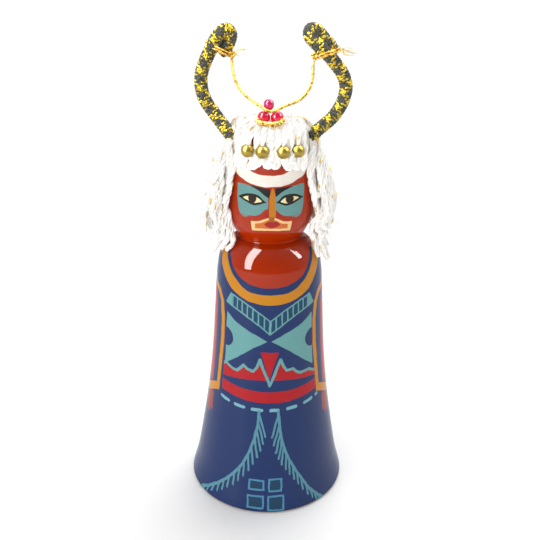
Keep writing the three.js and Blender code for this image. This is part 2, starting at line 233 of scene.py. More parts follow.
def node_group(name, sizes):
    """An empty Geometry Nodes group with a geometry in and out and the named sizes as inputs."""
    group = bpy.data.node_groups.new(name, "GeometryNodeTree")
    kinds = {"Geometry": "NodeSocketGeometry", "Material": "NodeSocketMaterial"}
    kinds.update({size: "NodeSocketInt" for size in ("Plies", "Sides", "Carriers")})
    for size in ("Geometry", *sizes, "Material"):
        kind = kinds.get(size, "NodeSocketFloat")
        group.interface.new_socket(size, in_out="INPUT", socket_type=kind)
    group.interface.new_socket("Geometry", in_out="OUTPUT", socket_type="NodeSocketGeometry")
    tree = Tree(group)
    return group, tree, tree.add("NodeGroupInput")


def end_group(tree, given, shape):
    """Every tree ends the same way: smooth faces, the piece's material, and real geometry."""
    smooth = tree.add("GeometryNodeSetShadeSmooth", None, {"Geometry": shape})
    values = {"Geometry": smooth, "Material": given.other("Material")}
    shaded = tree.add("GeometryNodeSetMaterial", None, values)
    tree.add("NodeGroupOutput", None, [tree.add("GeometryNodeRealizeInstances", None, [shaded])])


def tubes(tree, given, line, radius_share):
    """A closed tube along every spline, as thick as the ply radius times its share at each point."""
    sized = tree.add("GeometryNodeSetCurveRadius", None, {"Curve": line, "Radius": radius_share})
    values = {"Resolution": given.other("Sides"), "Radius": given.other("Ply Radius")}
    ring = tree.add("GeometryNodeCurvePrimitiveCircle", {"mode": "RADIUS"}, values)
    values = {"Curve": sized, "Profile Curve": ring, "Fill Caps": True}
    return tree.add("GeometryNodeCurveToMesh", None, values)


def turned_out(tree, line, angle, reach):
    """Moves every point of a line sideways: by this reach, at this angle round the line's own direction."""
    normal = tree.add("GeometryNodeInputNormal")
    side = tree.add("GeometryNodeInputTangent", None, (), "Tangent").vector("CROSS_PRODUCT", normal)
    out = normal.times(angle.math("COSINE") * reach)
    offset = out.vector("ADD", side.times(angle.math("SINE") * reach))
    return tree.add("GeometryNodeSetPosition", None, {"Geometry": line, "Offset": offset})


def cut_line(tree, given):
    """The group's lines, with a point at every step."""
    values = {"Curve": given.other("Geometry"), "Length": given.other("Step")}
    return tree.add("GeometryNodeResampleCurve", {"mode": "LENGTH"}, values)


def copied(tree, line, amount):
    """Several copies of every line. The other output numbers them."""
    values = {"Geometry": line, "Amount": amount}
    return tree.add("GeometryNodeDuplicateElements", {"domain": "SPLINE"}, values)


def marked(tree, line, name, value):
    """Lines that carry a value under a name, for their material to read."""
    settings = {"data_type": "FLOAT", "domain": "CURVE"}
    values = {"Geometry": line, "Name": name, "Value": value}
    return tree.add("GeometryNodeStoreNamedAttribute", settings, values)


PLIED_SIZES = (
    "Plies", "Sides", "Ply Radius", "Lay Radius", "Turn", "Step", "Thread Radius", "Crimp", "Crimp Size",
)


def plied_tree():
    """Plies twisted round every line, and a thinner thread round them where its radius isn't nothing."""
    group, tree, given = node_group("plied_cord", PLIED_SIZES)
    line = cut_line(tree, given)
    place = tree.add("GeometryNodeInputPosition")
    values = {"Vector": place, "Scale": 1 / given.other("Crimp Size"), "Detail": 1.0}
    lumps = tree.add("ShaderNodeTexNoise", None, values, "Color")
    shift = lumps.vector("SUBTRACT", (0.5, 0.5, 0.5)).times(given.other("Crimp"))
    line = tree.add("GeometryNodeSetPosition", None, {"Geometry": line, "Offset": shift})
    threaded = given.other("Thread Radius").math("GREATER_THAN", 0)
    copies = copied(tree, line, given.other("Plies") + threaded)
    number = copies.other("Duplicate Index")
    is_thread = number.math("GREATER_THAN", given.other("Plies") - 0.5)
    along = tree.add("GeometryNodeSplineParameter", None, (), "Length")
    angle = 2 * math.pi * (number / given.other("Plies") + along / given.other("Turn"))
    angle = angle + is_thread * (math.pi / 2)
    thickness = tree.add("GeometryNodeInputRadius")
    reach = given.other("Lay Radius") + is_thread * 0.9 * given.other("Ply Radius")
    moved = turned_out(tree, copies, angle, reach * thickness)
    share = 1 + is_thread * (given.other("Thread Radius") / given.other("Ply Radius") - 1)
    threads = marked(tree, moved, "thread", is_thread)
    end_group(tree, given, tubes(tree, given, threads, thickness * share))
    return group


def placed(name, mesh, material=None):
    """A mesh as an object of the scene."""
    if material:
        mesh.materials.append(material)
    piece = bpy.data.objects.new(name, mesh)
    bpy.context.scene.collection.objects.link(piece)
    return piece


def laid(name, group, lines, sizes, material, seed=1):
    """A mesh that a node group makes along lines, each a list of (place, share of full thickness)."""
    rng = random.Random(seed)
    curve = bpy.data.curves.new(name, "CURVE")
    curve.dimensions = "3D"
    for line in lines:
        spline = curve.splines.new("POLY")
        spline.points.add(len(line) - 1)
        start = rng.uniform(0, 2 * math.pi)
        for point, (place, share) in zip(spline.points, line):
            point.co = (*place, 1)
            point.radius = share
            point.tilt = start
    carrier = bpy.data.objects.new(name + "_lines", curve)
    bpy.context.scene.collection.objects.link(carrier)
    modifier = carrier.modifiers.new(group.name, "NODES")
    modifier.node_group = group
    for socket in group.interface.items_tree:
        if socket.in_out == "INPUT" and socket.name in sizes:
            modifier[socket.identifier] = sizes[socket.name]
        if socket.in_out == "INPUT" and socket.name == "Material":
            modifier[socket.identifier] = material
    finished = carrier.evaluated_get(bpy.context.evaluated_depsgraph_get())
    shape = bpy.data.meshes.new_from_object(finished)
    carrier.modifiers.remove(modifier)
    bpy.data.objects.remove(carrier)
    shape.name = name
    return placed(name, shape)


def tapered(line, first=1.0, last=1.0, over=3):
    """A line with a full thickness that narrows over a few points to a share of it at either end."""
    count = len(line)
    shares = []
    for number in range(count):
        near_start = min(1, number / over)
        near_end = min(1, (count - 1 - number) / over)
        shares.append((first + (1 - first) * near_start) * (last + (1 - last) * near_end))
    return list(zip(line, shares))


def replace(piece, slot, *nodes):
    """Puts a finished piece in the place of its nodes. The slot is not used."""
    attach(piece, "root")
    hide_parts(*nodes)


def gold_thread(tree):
    """Metallised thread: bright gold, browner where the film has rubbed."""
    here = tree.here()
    wear = tree.noise(here, 0.7 * MM, 3.0)
    twist = tree.noise(here, 0.16 * MM, 2.0)
    return {
        "Base Color": tree.mix(wear.over(0.52, 0.14), GOLD_BRIGHT, GOLD_WORN),
        "Metallic": 0.85,
        "Roughness": wear * 0.25 + 0.22,
        "Normal": tree.bump(twist, 0.04 * MM, 0.8),
    }


GOLD_THREAD = material_of("gold_thread", gold_thread)
PLIED = plied_tree()


def three_plies(diameter):
    """Sizes of a three-ply cord: the plies touch each other and fill its diameter."""
    ply = diameter / 2 / (1 + 2 / math.sqrt(3))
    return {"Plies": 3, "Ply Radius": ply, "Lay Radius": diameter / 2 - ply, "Sides": 7}


cord_line = through([Vector(place) for place in CORD_ROUTE], 8)
hanging_cord = laid(
    "hanging_cord_plies",
    PLIED,
    [tapered(cord_line)],
    {**three_plies(CORD_DIAMETER), "Turn": 1.5 * MM, "Step": 0.12 * MM, "Crimp Size": 1.0},
    GOLD_THREAD,
)
replace(hanging_cord, "gold_cord", "hanging_cord")
length_of(cord_line)


# Turned figure: one piece of wood, turned on a lathe with a flared robe, a domed shoulder, a neck groove
# and a barrel of a head. Dress, face and headband are brushed on in gloss paint and lacquered. The
# underside is bare wood.
ROBE_PROFILE = [
    (24, 0), (24.7, 0.25), (24.95, 0.9), (24.7, 2), (24.15, 4), (23.1, 8), (21, 20), (19.2, 32),
    (17.8, 45), (16.8, 60), (16.2, 70), (15.7, 75), (15.1, 78), (13.8, 80.5), (11.5, 82.8), (9.5, 83.9),
]
HEAD_PROFILE = [
    (9.5, 83.9), (10.9, 86.5), (12.2, 89.5), (12.9, 93), (12.8, 98), (12.3, 104), (11.8, 110),
    (11.3, 113.2), (10.6, 115.3), (9.4, 116.6), (8, 117.1),
]
FIGURE_SIDES = 192
NAVY = (0.004, 0.024, 0.115)
SKIN = (0.380, 0.024, 0.000)
OCHRE = (0.560, 0.215, 0.001)
TURQUOISE = (0.130, 0.335, 0.335)
PATCH_BLUE = (0.130, 0.300, 0.290)
DARK_TEAL = (0.004, 0.045, 0.100)
WINDOW_TEAL = (0.003, 0.048, 0.112)
RED = (0.420, 0.001, 0.006)
HAND_RED = (0.300, 0.030, 0.015)
BAND_WHITE = (0.850, 0.800, 0.720)
CREAM = (0.850, 0.560, 0.250)
MOUTH_ORANGE = (0.600, 0.150, 0.020)
LIP_RED = (0.350, 0.012, 0.012)
NOSE_OCHRE = (0.520, 0.180, 0.005)
PHILTRUM = (0.330, 0.100, 0.010)
EYE_WHITE = (0.850, 0.750, 0.420)
BROW_BLACK = (0.004, 0.002, 0.001)
IRIS = (0.020, 0.008, 0.004)
DASH_BLUE = (0.180, 0.400, 0.480)
FEATHER_BLUE = (0.085, 0.260, 0.330)
SQUARE_BLUE = (0.070, 0.240, 0.400)
SEAM_BROWN = (0.200, 0.070, 0.020)
BARE_WOOD = (0.500, 0.320, 0.160)
CENTRES = {
    "chest": 1.5, "wings": 1.0, "ladder": 1.7, "sleeves": 0, "collar": 1.0, "headband": -1.0,
    "patches": 0.4, "eyes": 0.8, "nose": 2.8, "mouth": 1.8, "lips": 3,
}
PAINT_FOOT = 0.25
LACQUER_FOOT = 0.3
CHEST_HALF_ANGLE = 51
ZIGZAG_START = 60
ZIGZAG_HALF_WIDTH = 0.42
ZIGZAG = [
    (-52, 45.6), (-46, 46.5), (-41.3, 46), (-36.1, 45.4), (-31.8, 45.3), (-28.3, 46.4), (-24.6, 47.6),
    (-20.3, 46.7), (-14.5, 46.1), (-10.5, 47.7), (-8.2, 50), (2, 41.7), (12.4, 50.1), (15.2, 47.9),
    (18.5, 46.4), (25.5, 46.6), (29.8, 45.2), (34, 44.6), (44, 44.9), (52, 43.6),
]
TRIANGLE_TOP = 52.5
TRIANGLE_HALF_ANGLE = 9.4
BITE_ANGLE = 48.5
BITE_HEIGHT = 55.1
BITE_RADIUS = 2.9
LADDER_HALF_ANGLE = 45.5
LADDER_HEIGHT = 69.5
LADDER_SLANT = 1.8
LADDER_FRAME = 0.5
LADDER_STEP = 6.0
RUNG_SHARE = 0.24
SLEEVE_FRONT = 69
SLEEVE_BACK = 108
FINGERS = [
    ((65.5, 33), (64.5, 28.2)),
    ((69.5, 33), (68.8, 26.6)),
    ((73.5, 33), (73.3, 26.4)),
    ((77.5, 33), (77.8, 28)),
]
FINGER_HALF_WIDTH = 0.62
FRONT_SEAM = [
    (90, 73.8), (75, 69.5), (64, 68.2), (57.5, 65.6), (54.2, 60), (54, 53), (56, 42), (56.5, 36.5),
]
BACK_SEAM = [(90, 73.8), (103, 71), (112, 64), (115, 52), (113, 40), (108, 35)]
CUFF = [(59.5, 36.7), (79, 33.4), (94, 33.2), (107, 35.4)]
SEAM_HALF_WIDTH = 0.84
SEAM_EDGE = 1.0
CUFF_HALF_WIDTH = 1.25
DASHES = [(-50.8, -37.1), (-33.2, -20.5), (-16.2, -3.1), (1.4, 11.8), (17, 29.1), (35.1, 47.8), (50.5, 56)]
DASH_HEIGHT = 33.6
DASH_RISE = 1.7
DASH_SIDE = 55
DASH_ROUNDING = 2
DASH_HALF_WIDTH = 0.52
FEATHERS = {
    -1: [
        (-7.2, 33.2), (-8.4, 28.8), (-10.9, 24.3), (-14.7, 19.7), (-19.8, 15.4), (-26.5, 11.6),
        (-33.5, 8.5), (-41, 5.8), (-49.3, 3.2), (-57, 1.3),
    ],
    1: [
        (10.3, 33.2), (11.6, 26.6), (14.4, 21.5), (19.1, 16.8), (25.8, 11.7), (33.9, 6.1), (40.9, 2.6),
        (46, 0.9),
    ],
}
BARBS = 15
BARB_LENGTHS = (7.6, 1.4)
BARB_LEAN = 6.4
BARB_LEAN_BACK = 1.5
BARB_LOWEST = 0.6
BARB_HALF_WIDTH = 0.30
SHAFT_HALF_WIDTH = 0.42
SQUARES = [(-7.8, 9.0, 5.9, 1.6), (7.0, 8.95, 5.0, 2.0), (-8.1, 3.55, 5.9, 1.95), (7.1, 3.25, 5.8, 2.3)]
SQUARE_LINE = 0.29
SQUARE_INSET = 0.1
BAND_FOOT = [
    (0, 101.53), (12, 101.6), (18.5, 101.85), (28, 102.3), (39, 103.2), (50, 104.2), (56, 105.4),
    (76, 110), (82, 118),
]
BAND_TOP = [
    (0, 104.72), (12, 104.85), (20, 105.25), (28.5, 105.85), (35, 106.5), (41, 107.3), (46, 109.5),
    (49, 119),
]
PATCH_HALF_ANGLE = 47.9
PATCH_FOOT = [
    (3, 95.4), (7, 95), (11.8, 94), (17, 93.35), (28, 92.8), (38, 92.55), (42, 93.3), (44.5, 94.8),
    (46.3, 97), (48, 101),
]
LID_TOP = [(6, 97.1), (10.5, 97.95), (15.2, 98.85), (22, 99.38), (30, 99.33), (38, 98.78), (45, 98)]
LID_LOW = [
    (6, 97.1), (9, 97.05), (13.8, 96.62), (20, 96.28), (26, 96.45), (33, 97), (38, 97.45), (45, 97.95),
]
EYE_ANGLE = 24.3
EYE_HEIGHT = 98
IRIS_RADIUS = 1.27
NOSE_HALF_ANGLE = 4.2
NOSE_FOOT = 92.95
PHILTRUM_FOOT = 91.2
MOUTH_FRAME = 0.72


def smooth_mesh(name, places, faces):
    mesh = bpy.data.meshes.new(name)
    mesh.from_pydata(places, [], faces)
    mesh.polygons.foreach_set("use_smooth", [True] * len(mesh.polygons))
    mesh.update()
    return mesh


def turned_rings(profile, sides):
    """A ring of places round the axis for each (radius, height) of a profile in millimetres."""
    places = []
    for radius, height in profile:
        for side in range(sides):
            angle = 2 * math.pi * side / sides
            places.append(Vector((radius * math.cos(angle), radius * math.sin(angle), height)) * MM)
    return places


def turned_mesh(name, profile, sides):
    """A closed solid of revolution from a profile, bottom to top."""
    foot = Vector((0, 0, profile[0][1])) * MM
    head = Vector((0, 0, profile[-1][1])) * MM
    places = [foot, *turned_rings(profile, sides), head]
    faces = []
    last = len(places) - 1
    top = last - sides
    for side in range(sides):
        after = (side + 1) % sides
        faces.append((0, 1 + after, 1 + side))
        faces.append((last, top + side, top + after))
        for ring in range(len(profile) - 1):
            low = 1 + ring * sides
            high = low + sides
            faces.append((low + side, low + after, high + after, high + side))
    return smooth_mesh(name, places, faces)


def profile_line(points, steps):
    line = through([Vector((radius, height, 0)) for radius, height in points], steps)
    return [(place.x, place.y) for place in line]


figure_profile = profile_line(ROBE_PROFILE, 8) + profile_line(HEAD_PROFILE, 8)[1:]


def radius_at(height):
    """The wood's radius at a height, both in millimetres."""
    for (r0, z0), (r1, z1) in zip(figure_profile, figure_profile[1:]):
        if height <= z1:
            return r0 + (r1 - r0) * (height - z0) / max(z1 - z0, 1e-6)
    return figure_profile[-1][0]


class Paintwork:
    """The painted surface unrolled: degrees from straight ahead, and heights in millimetres."""

    SPAN = 120
    TALL = 120
    EDGE = 0.09

    def __init__(self, tree, ground):
        self.tree = tree
        here = tree.here()
        x = tree.add("ShaderNodeSeparateXYZ", None, [here], "X")
        y = x.other("Y")
        shake = tree.add("ShaderNodeSeparateXYZ", None, [tree.noise(here, 2.6 * MM, 1.0, "Color")], "X")
        self.ring = tree.add("ShaderNodeCombineXYZ", None, [x, y]).vector("LENGTH", output="Value") / MM
        self.height = x.other("Z") / MM + (shake - 0.5) * 0.45
        self.angle = x.math("ARCTAN2", -1 * y) * (180 / math.pi) + (shake.other("Y") - 0.5) * 1.4
        self.colour = ground

    def brush(self, mask, colour):
        self.colour = self.tree.mix(mask, self.colour, colour)

    def side(self, part):
        """The angle to either side of a painted part's centre line."""
        return abs(self.angle - CENTRES[part])

    def between(self, low, top):
        return self.above(low) * self.below(top)

    def stroke(self, place, strokes, half_width):
        return self.reach(place, strokes).under(half_width, self.EDGE)

    def outline(self, side, places, handle="AUTO"):
        """A hand-drawn outline: the height at each angle, from a few (angle, height) places."""
        shares = [(angle / self.SPAN, height / self.TALL) for angle, height in places]
        values = {"Value": side / self.SPAN}
        return self.tree.add("ShaderNodeFloatCurve", {"outline": (handle, shares)}, values) * self.TALL

    def above(self, line, edge=EDGE):
        return self.height.over(line, edge)

    def below(self, line, edge=EDGE):
        return self.height.under(line, edge)

    def within(self, side, degrees):
        return side.under(degrees, 0.4)

    def flat(self, side):
        """A side angle as an unrolled place, across and up."""
        across = side * self.ring * (math.pi / 180)
        return self.tree.add("ShaderNodeCombineXYZ", None, [across, self.height])

    def gap_to(self, side, angle, height):
        """How far a side place is from one point on the surface."""
        centre = (math.radians(angle) * radius_at(height), height, 0)
        return self.flat(side).vector("DISTANCE", centre, output="Value")

    def reach(self, place, strokes):
        """How far an unrolled place is from the nearest of some straight strokes between two places."""
        nearest = None
        for start, end in strokes:
            a, b = (Vector((math.radians(angle) * radius_at(z), z, 0)) for angle, z in (start, end))
            run = b - a
            away = place.vector("SUBTRACT", tuple(a))
            share = away.vector("DOT_PRODUCT", tuple(run / run.length_squared), output="Value")
            values = {
                "Vector": tuple(run),
                "Scale": self.tree.add("ShaderNodeClamp", None, {"Value": share}),
            }
            foot = self.tree.add("ShaderNodeVectorMath", {"operation": "SCALE"}, values)
            gap = away.vector("DISTANCE", foot, output="Value")
            nearest = gap if nearest is None else nearest.math("MINIMUM", gap)
        return nearest


def paint_dress(art):
    """Chest: the red ground with its zigzag, the turquoise shapes and the ladder over them."""
    side = art.side("chest")
    front = art.within(side, CHEST_HALF_ANGLE)
    across = art.angle + ZIGZAG_START
    zigzag = art.outline(across, [(angle + ZIGZAG_START, height) for angle, height in ZIGZAG], "VECTOR")
    ground_foot = art.outline(side, [(0, 36.1), (18, 36.2), (35, 36.8), (51, 37.4)])
    art.brush(front * art.between(ground_foot, zigzag), RED)
    lens_top = art.outline(side, [(0, 43.4), (26, 43), (50, 42)])
    lens_foot = art.outline(side, [(0, 39.6), (18, 39.8), (36, 40.3), (51, 40.8)])
    art.brush(front * art.between(lens_foot, lens_top), NAVY)
    stroke = art.stroke(art.flat(art.angle), zip(ZIGZAG, ZIGZAG[1:]), ZIGZAG_HALF_WIDTH)
    art.brush(front * stroke, TURQUOISE)
    triangle = art.outline(side, [(0, 43.8), (9.1, 52.5), (20, 62)], "VECTOR")
    wedge = art.within(side, TRIANGLE_HALF_ANGLE) * art.above(triangle)
    art.brush(wedge * art.below(TRIANGLE_TOP), RED)

    side = art.side("wings")
    top = art.outline(side, [(2.5, 56), (13, 57.8), (25, 59.4), (37, 61), (48, 63)])
    low = art.outline(side, [(2.5, 55.9), (14, 53.9), (26, 51.3), (37, 48.7), (48.5, 46.2)])
    bite = art.gap_to(side, BITE_ANGLE, BITE_HEIGHT)
    wing = art.within(side, 49) * art.between(low, top) * side.over(2.4, 0.5)
    art.brush(wing * bite.over(BITE_RADIUS, art.EDGE), TURQUOISE)

    side = art.side("ladder")
    top = art.outline(side, [(0, 62.6), (20, 66.7), (45, 69.5), (60, 70.4)])
    low = art.outline(side, [(0, 58), (22.5, 62.8), (51.5, 65.9)])
    slanted = side + (art.height - LADDER_HEIGHT) * LADDER_SLANT
    art.brush(art.within(slanted, LADDER_HALF_ANGLE) * art.between(low, top), TURQUOISE)
    window = art.between(low + LADDER_FRAME, top - LADDER_FRAME) * art.within(side, 43)
    step = ((side + 0.8) / LADDER_STEP).math("FRACT")
    art.brush(window * step.over(RUNG_SHARE, 0.06) * side.over(1.2, 0.4), WINDOW_TEAL)


def paint_sleeves(art):
    """Sleeves at the sides: a red lining, the hand under it, an ochre seam all round and an ochre cuff."""
    side = art.side("sleeves")
    place = art.flat(side)
    lining_top = art.outline(side, [(66, 58), (72, 65), (84, 68.5), (98, 68), (106, 62), (109, 50)])
    lining_foot = art.outline(side, [(66, 37), (90, 36.6), (104, 38), (109, 48)])
    inside = side.over(SLEEVE_FRONT, 1.0) * side.under(SLEEVE_BACK, 1.0)
    art.brush(inside * art.between(lining_foot, lining_top), RED)
    art.brush(art.stroke(place, FINGERS, FINGER_HALF_WIDTH), HAND_RED)
    seam = [*zip(FRONT_SEAM, FRONT_SEAM[1:]), *zip(BACK_SEAM, BACK_SEAM[1:])]
    seam_gap = art.reach(place, seam)
    art.brush(seam_gap.under(SEAM_EDGE, art.EDGE), SEAM_BROWN)
    art.brush(seam_gap.under(SEAM_HALF_WIDTH, art.EDGE), OCHRE)
    art.brush(art.stroke(place, zip(CUFF, CUFF[1:]), CUFF_HALF_WIDTH), OCHRE)


def paint_collar(art):
    """Skin over the shoulders, a navy neck band and an ochre collar."""
    side = art.side("collar")
    skin_foot = art.outline(
        side, [(0, 72.6), (14, 72.9), (25, 73.8), (36, 75.3), (44, 77.3), (54, 80), (64, 81.7)]
    )
    navy_foot = art.outline(
        side, [(0, 70.5), (13, 70.7), (25, 71.4), (35.5, 73.3), (45, 75.5), (53, 78), (66, 81)]
    )
    ochre_foot = art.outline(
        side, [(0, 67.35), (14, 67.7), (26, 68.5), (36, 69.7), (46, 71.2), (55, 73.6), (63.5, 76), (73, 79)]
    )
    art.brush(art.above(ochre_foot), OCHRE)
    art.brush(art.above(navy_foot), NAVY)
    art.brush(art.above(skin_foot), SKIN)


def feather_strokes(hand, shaft):
    """The barbs of one feathered line: long and leaning at the waist, short and upright at the hem."""
    longest, shortest = BARB_LENGTHS
    strokes = []
    for barb in range(BARBS):
        share = (barb + 0.3) / BARBS
        span = int(share * (len(shaft) - 1))
        part = share * (len(shaft) - 1) - span
        (first_angle, first_height), (next_angle, next_height) = shaft[span], shaft[span + 1]
        angle = first_angle + (next_angle - first_angle) * part
        height = first_height + (next_height - first_height) * part
        fall = longest + (shortest - longest) * share
        lean = hand * (BARB_LEAN * max(0, 1 - 2.2 * share) - BARB_LEAN_BACK * share)
        strokes.append(((angle, height), (angle - lean, max(height - fall, BARB_LOWEST))))
    return strokes


def paint_skirt(art):
    """Skirt: dashes under the waist, two feathered lines that fall to the sides and four squares."""
    place = art.flat(art.angle)
    strokes = []
    for first, last in DASHES:
        ends = (first + DASH_ROUNDING, last - DASH_ROUNDING)
        strokes.append([(angle, DASH_HEIGHT + DASH_RISE * (angle / DASH_SIDE) ** 2) for angle in ends])
    art.brush(art.stroke(place, strokes, DASH_HALF_WIDTH), DASH_BLUE)

    for hand, shaft in FEATHERS.items():
        art.brush(art.stroke(place, feather_strokes(hand, shaft), BARB_HALF_WIDTH), FEATHER_BLUE)
        art.brush(art.stroke(place, zip(shaft, shaft[1:]), SHAFT_HALF_WIDTH), FEATHER_BLUE)

    for angle, height, half_angle, half_height in SQUARES:
        half = math.radians(half_angle) * radius_at(height)
        across = abs((art.angle - angle) * art.ring * (math.pi / 180)) - half
        gap = across.math("MAXIMUM", abs(art.height - height) - half_height) + SQUARE_INSET
        art.brush(gap.under(0, art.EDGE), DARK_TEAL)
        art.brush(abs(gap).under(SQUARE_LINE, art.EDGE), SQUARE_BLUE)


def paint_headband(art):
    """A white band painted across the forehead and up under the wig."""
    side = art.side("headband")
    art.brush(art.between(art.outline(side, BAND_FOOT), art.outline(side, BAND_TOP)), BAND_WHITE)


def paint_eyes(art):
    """Blue patches, and on them the brows and almond eyes with dark lids."""
    side = art.side("patches")
    top = art.outline(side, [(3, 99.5), (10, 100.5), (21, 101.25), (30, 101.6), (40, 101.75), (49, 101.7)])
    low = art.outline(side, PATCH_FOOT)
    patch = art.within(side, PATCH_HALF_ANGLE) * side.over(3, 0.4)
    art.brush(patch * art.between(low, top), PATCH_BLUE)

    side = art.side("eyes")
    top = art.outline(side, [(1, 101), (12, 101.3), (20, 101.5), (28, 101.65)])
    low = art.outline(
        side, [(1.5, 98.3), (5, 98.7), (8.6, 99.2), (14.4, 100.15), (21.4, 100.9), (28, 101.5)]
    )
    apart = art.side("nose").over(3, 0.5)
    art.brush(art.within(side, 28) * apart * art.between(low, top), BROW_BLACK)
    lid_top = art.outline(side, LID_TOP)
    lid_low = art.outline(side, LID_LOW)
    lids = art.within(side, 45.5) * side.over(5.6, 0.4)
    art.brush(lids * art.between(lid_low - 0.05, lid_top + 0.05), BROW_BLACK)
    white = side.over(10.2, 0.4) * art.within(side, 40)
    art.brush(white * art.between(lid_low + 0.58, lid_top - 0.72), EYE_WHITE)
    iris = art.gap_to(side, EYE_ANGLE, EYE_HEIGHT)
    art.brush(iris.under(IRIS_RADIUS, art.EDGE), IRIS)


def paint_nose_and_mouth(art):
    """A straight ochre nose with red nostrils, and full lips in an orange field with a cream frame."""
    side = art.side("nose")
    nostril = art.outline(side, [(3.6, 95.2), (7.6, 94.15), (11.4, 93)], "VECTOR")
    art.brush(side.over(3.4, 0.4) * art.between(92.9, nostril), LIP_RED)
    ridge = art.outline(side, [(0, 101.3), (1.85, 100.4), (3.3, 99.4), (4, 98.2), (4.3, 92)], "VECTOR")
    nose = art.within(side, NOSE_HALF_ANGLE) * art.below(ridge)
    art.brush(nose * art.above(PHILTRUM_FOOT), PHILTRUM)
    art.brush(nose * art.above(NOSE_FOOT), NOSE_OCHRE)

    side = art.side("mouth")
    frame_top = art.outline(
        side,
        [(0, 91.2), (3.2, 91.2), (3.8, 92.75), (10, 92.2), (16, 91.6), (21, 91.4), (28, 91.35)],
        "VECTOR",
    )
    field_top = art.outline(side, [(0, 91.6), (3.2, 91.6), (3.8, 92.15), (14, 91), (22, 90.6)], "VECTOR")
    frame_foot = art.outline(side, [(0, 88.65), (10, 88.6), (27, 88.35)])
    art.brush(art.within(side, 27.3) * art.between(frame_foot, frame_top), CREAM)
    field = art.within(side, 22) * art.below(frame_top - 0.02) * art.below(field_top)
    art.brush(field * art.above(frame_foot + MOUTH_FRAME), MOUTH_ORANGE)
    side = art.side("lips")
    lip_top = art.outline(side, [(0, 91.3), (3.6, 91.6), (8, 91.3), (10.6, 90.7)])
    lip_low = art.outline(side, [(0, 89.6), (5, 89.8), (9.4, 90.35), (10.6, 90.7)])
    art.brush(art.within(side, 10.6) * art.between(lip_low, lip_top), LIP_RED)


def lacquered_paint(tree):
    """Gloss paint over wood, with faint brush strokes round the turning, under a clear lacquer."""
    art = Paintwork(tree, NAVY)
    paint_dress(art)
    paint_sleeves(art)
    paint_collar(art)
    paint_skirt(art)
    paint_headband(art)
    paint_eyes(art)
    paint_nose_and_mouth(art)
    art.brush(art.below(PAINT_FOOT), BARE_WOOD)
    flattened = tree.add("ShaderNodeMapping", None, {"Vector": tree.here(), "Scale": (1, 1, 5)})
    strokes = tree.noise(flattened, 3.0 * MM, 4.0)
    darker = art.colour.vector("MULTIPLY", (0.92, 0.92, 0.92))
    grain = tree.noise(flattened, 1.2 * MM, 3.0)
    return {
        "Base Color": tree.mix(strokes.over(0.5, 0.5), darker, art.colour),
        "Roughness": strokes * 0.2 + 0.4,
        "Specular IOR Level": 0.0,
        "Coat Weight": art.above(LACQUER_FOOT) * 0.6,
        "Coat Roughness": 0.03,
        "Coat IOR": 1.5,
        "Normal": tree.bump(grain, 0.012 * MM, 0.35),
    }


figure_mesh = turned_mesh("turned_figure", figure_profile, FIGURE_SIDES)
figure = placed("turned_figure", figure_mesh, material_of("lacquered_paint", lacquered_paint))
replace(figure, "turned_wood", "doll_body")


# Wig: a hank of soft white yarn with a fine gold thread in it, laid over the crown and glued there. It
# falls down both sides and the back in locks whose cut ends curl, with thin tails to the shoulders.
HEAD_TOP = 117.1
NECK = 83.9
CROWN = 11.4
WIG_SIDE = 18.3
WIG_BACK = 15.6
BEHIND_HORN = 106
CROWN_STRANDS = 15
CROWN_HALF = 10.4
CROWN_FLAT = 6.5
CROWN_FALL = 0.034
WISP_COUNT = 150
TAILS = (-123, -112, -101, -93, -86, -79, -72, -65, -59, 66, 74, 82, 93, 103, 114, 150, 170, 195, 210)
FRONT_LOCKS = [
    (-53, 95, 1), (-56, 90, 1.6), (-60, 86.5, 0.6), (-64, 88, 2.2),
    (53, 97, 1), (56, 92, 1.4), (59, 89, 1.6), (63, 89, 0.6),
]
WIG_LAYERS = [(42, 0, 88), (36, 1.7, 85.5)]
FALL_START = 62
CURL_STRANDS = 5
CURL_MIDDLE = (-17, 89)
CURL_FORWARD = 0.3
CURL_APART = 1.25
CURL_RING = [
    (-17.6, 97), (-19.0, 92.5), (-19.4, 89), (-17.6, 86.4), (-15.2, 87), (-14.4, 89.8), (-15.8, 91.6),
]
LOOSE_ENDS = [
    [(-17.5, -1, 95), (-20.5, -1.5, 91), (-23.4, -2, 89.4), (-25, -2.2, 90.6)],
    [(-18.0, -3, 92), (-20.8, -3.5, 88.6), (-23.2, -3.6, 88.4), (-24.4, -3.4, 89.8)],
    [(-17.8, -2, 96), (-20.6, -2.6, 93.4), (-22.6, -3, 93), (-24.2, -3, 94.2)],
    [(17.4, -2, 99), (19, -2.4, 96.4), (20.4, -2.8, 96), (21.4, -2.8, 97)],
    [(17.6, -1, 92), (19.4, -1.2, 88.6), (20.8, -1.4, 88), (21.8, -1.6, 88.8)],
]
YARN_SIZES = {
    "Plies": 3, "Sides": 4, "Ply Radius": 0.38 * MM, "Lay Radius": 0.42 * MM, "Turn": 8.0 * MM,
    "Step": 0.85 * MM, "Thread Radius": 0.04 * MM, "Crimp": 1.1 * MM, "Crimp Size": 5 * MM,
}
WISP_SIZES = {
    "Plies": 1, "Sides": 3, "Ply Radius": 0.11 * MM, "Step": 1.1 * MM, "Turn": 1.0,
    "Crimp": 3.2 * MM, "Crimp Size": 3.5 * MM,
}
YARN_SHADE = (0.97, 0.945, 0.90)
YARN_WHITE = (0.99, 0.985, 0.965)
THREAD_GOLD = (0.70, 0.45, 0.14)
# The yarn is given a faint glow though it is no lamp: painted light that keeps its shaded strands pale.
YARN_PAINTED_GLOW = (1.0, 0.95, 0.86, 1.0)
PAINTED_GLOW_STRENGTH = 0.06


def around(azimuth, radius, height):
    """A place at an angle from straight ahead, from a radius and a height in millimetres."""
    angle = math.radians(azimuth)
    return Vector((radius * math.sin(angle), -radius * math.cos(angle), height)) * MM


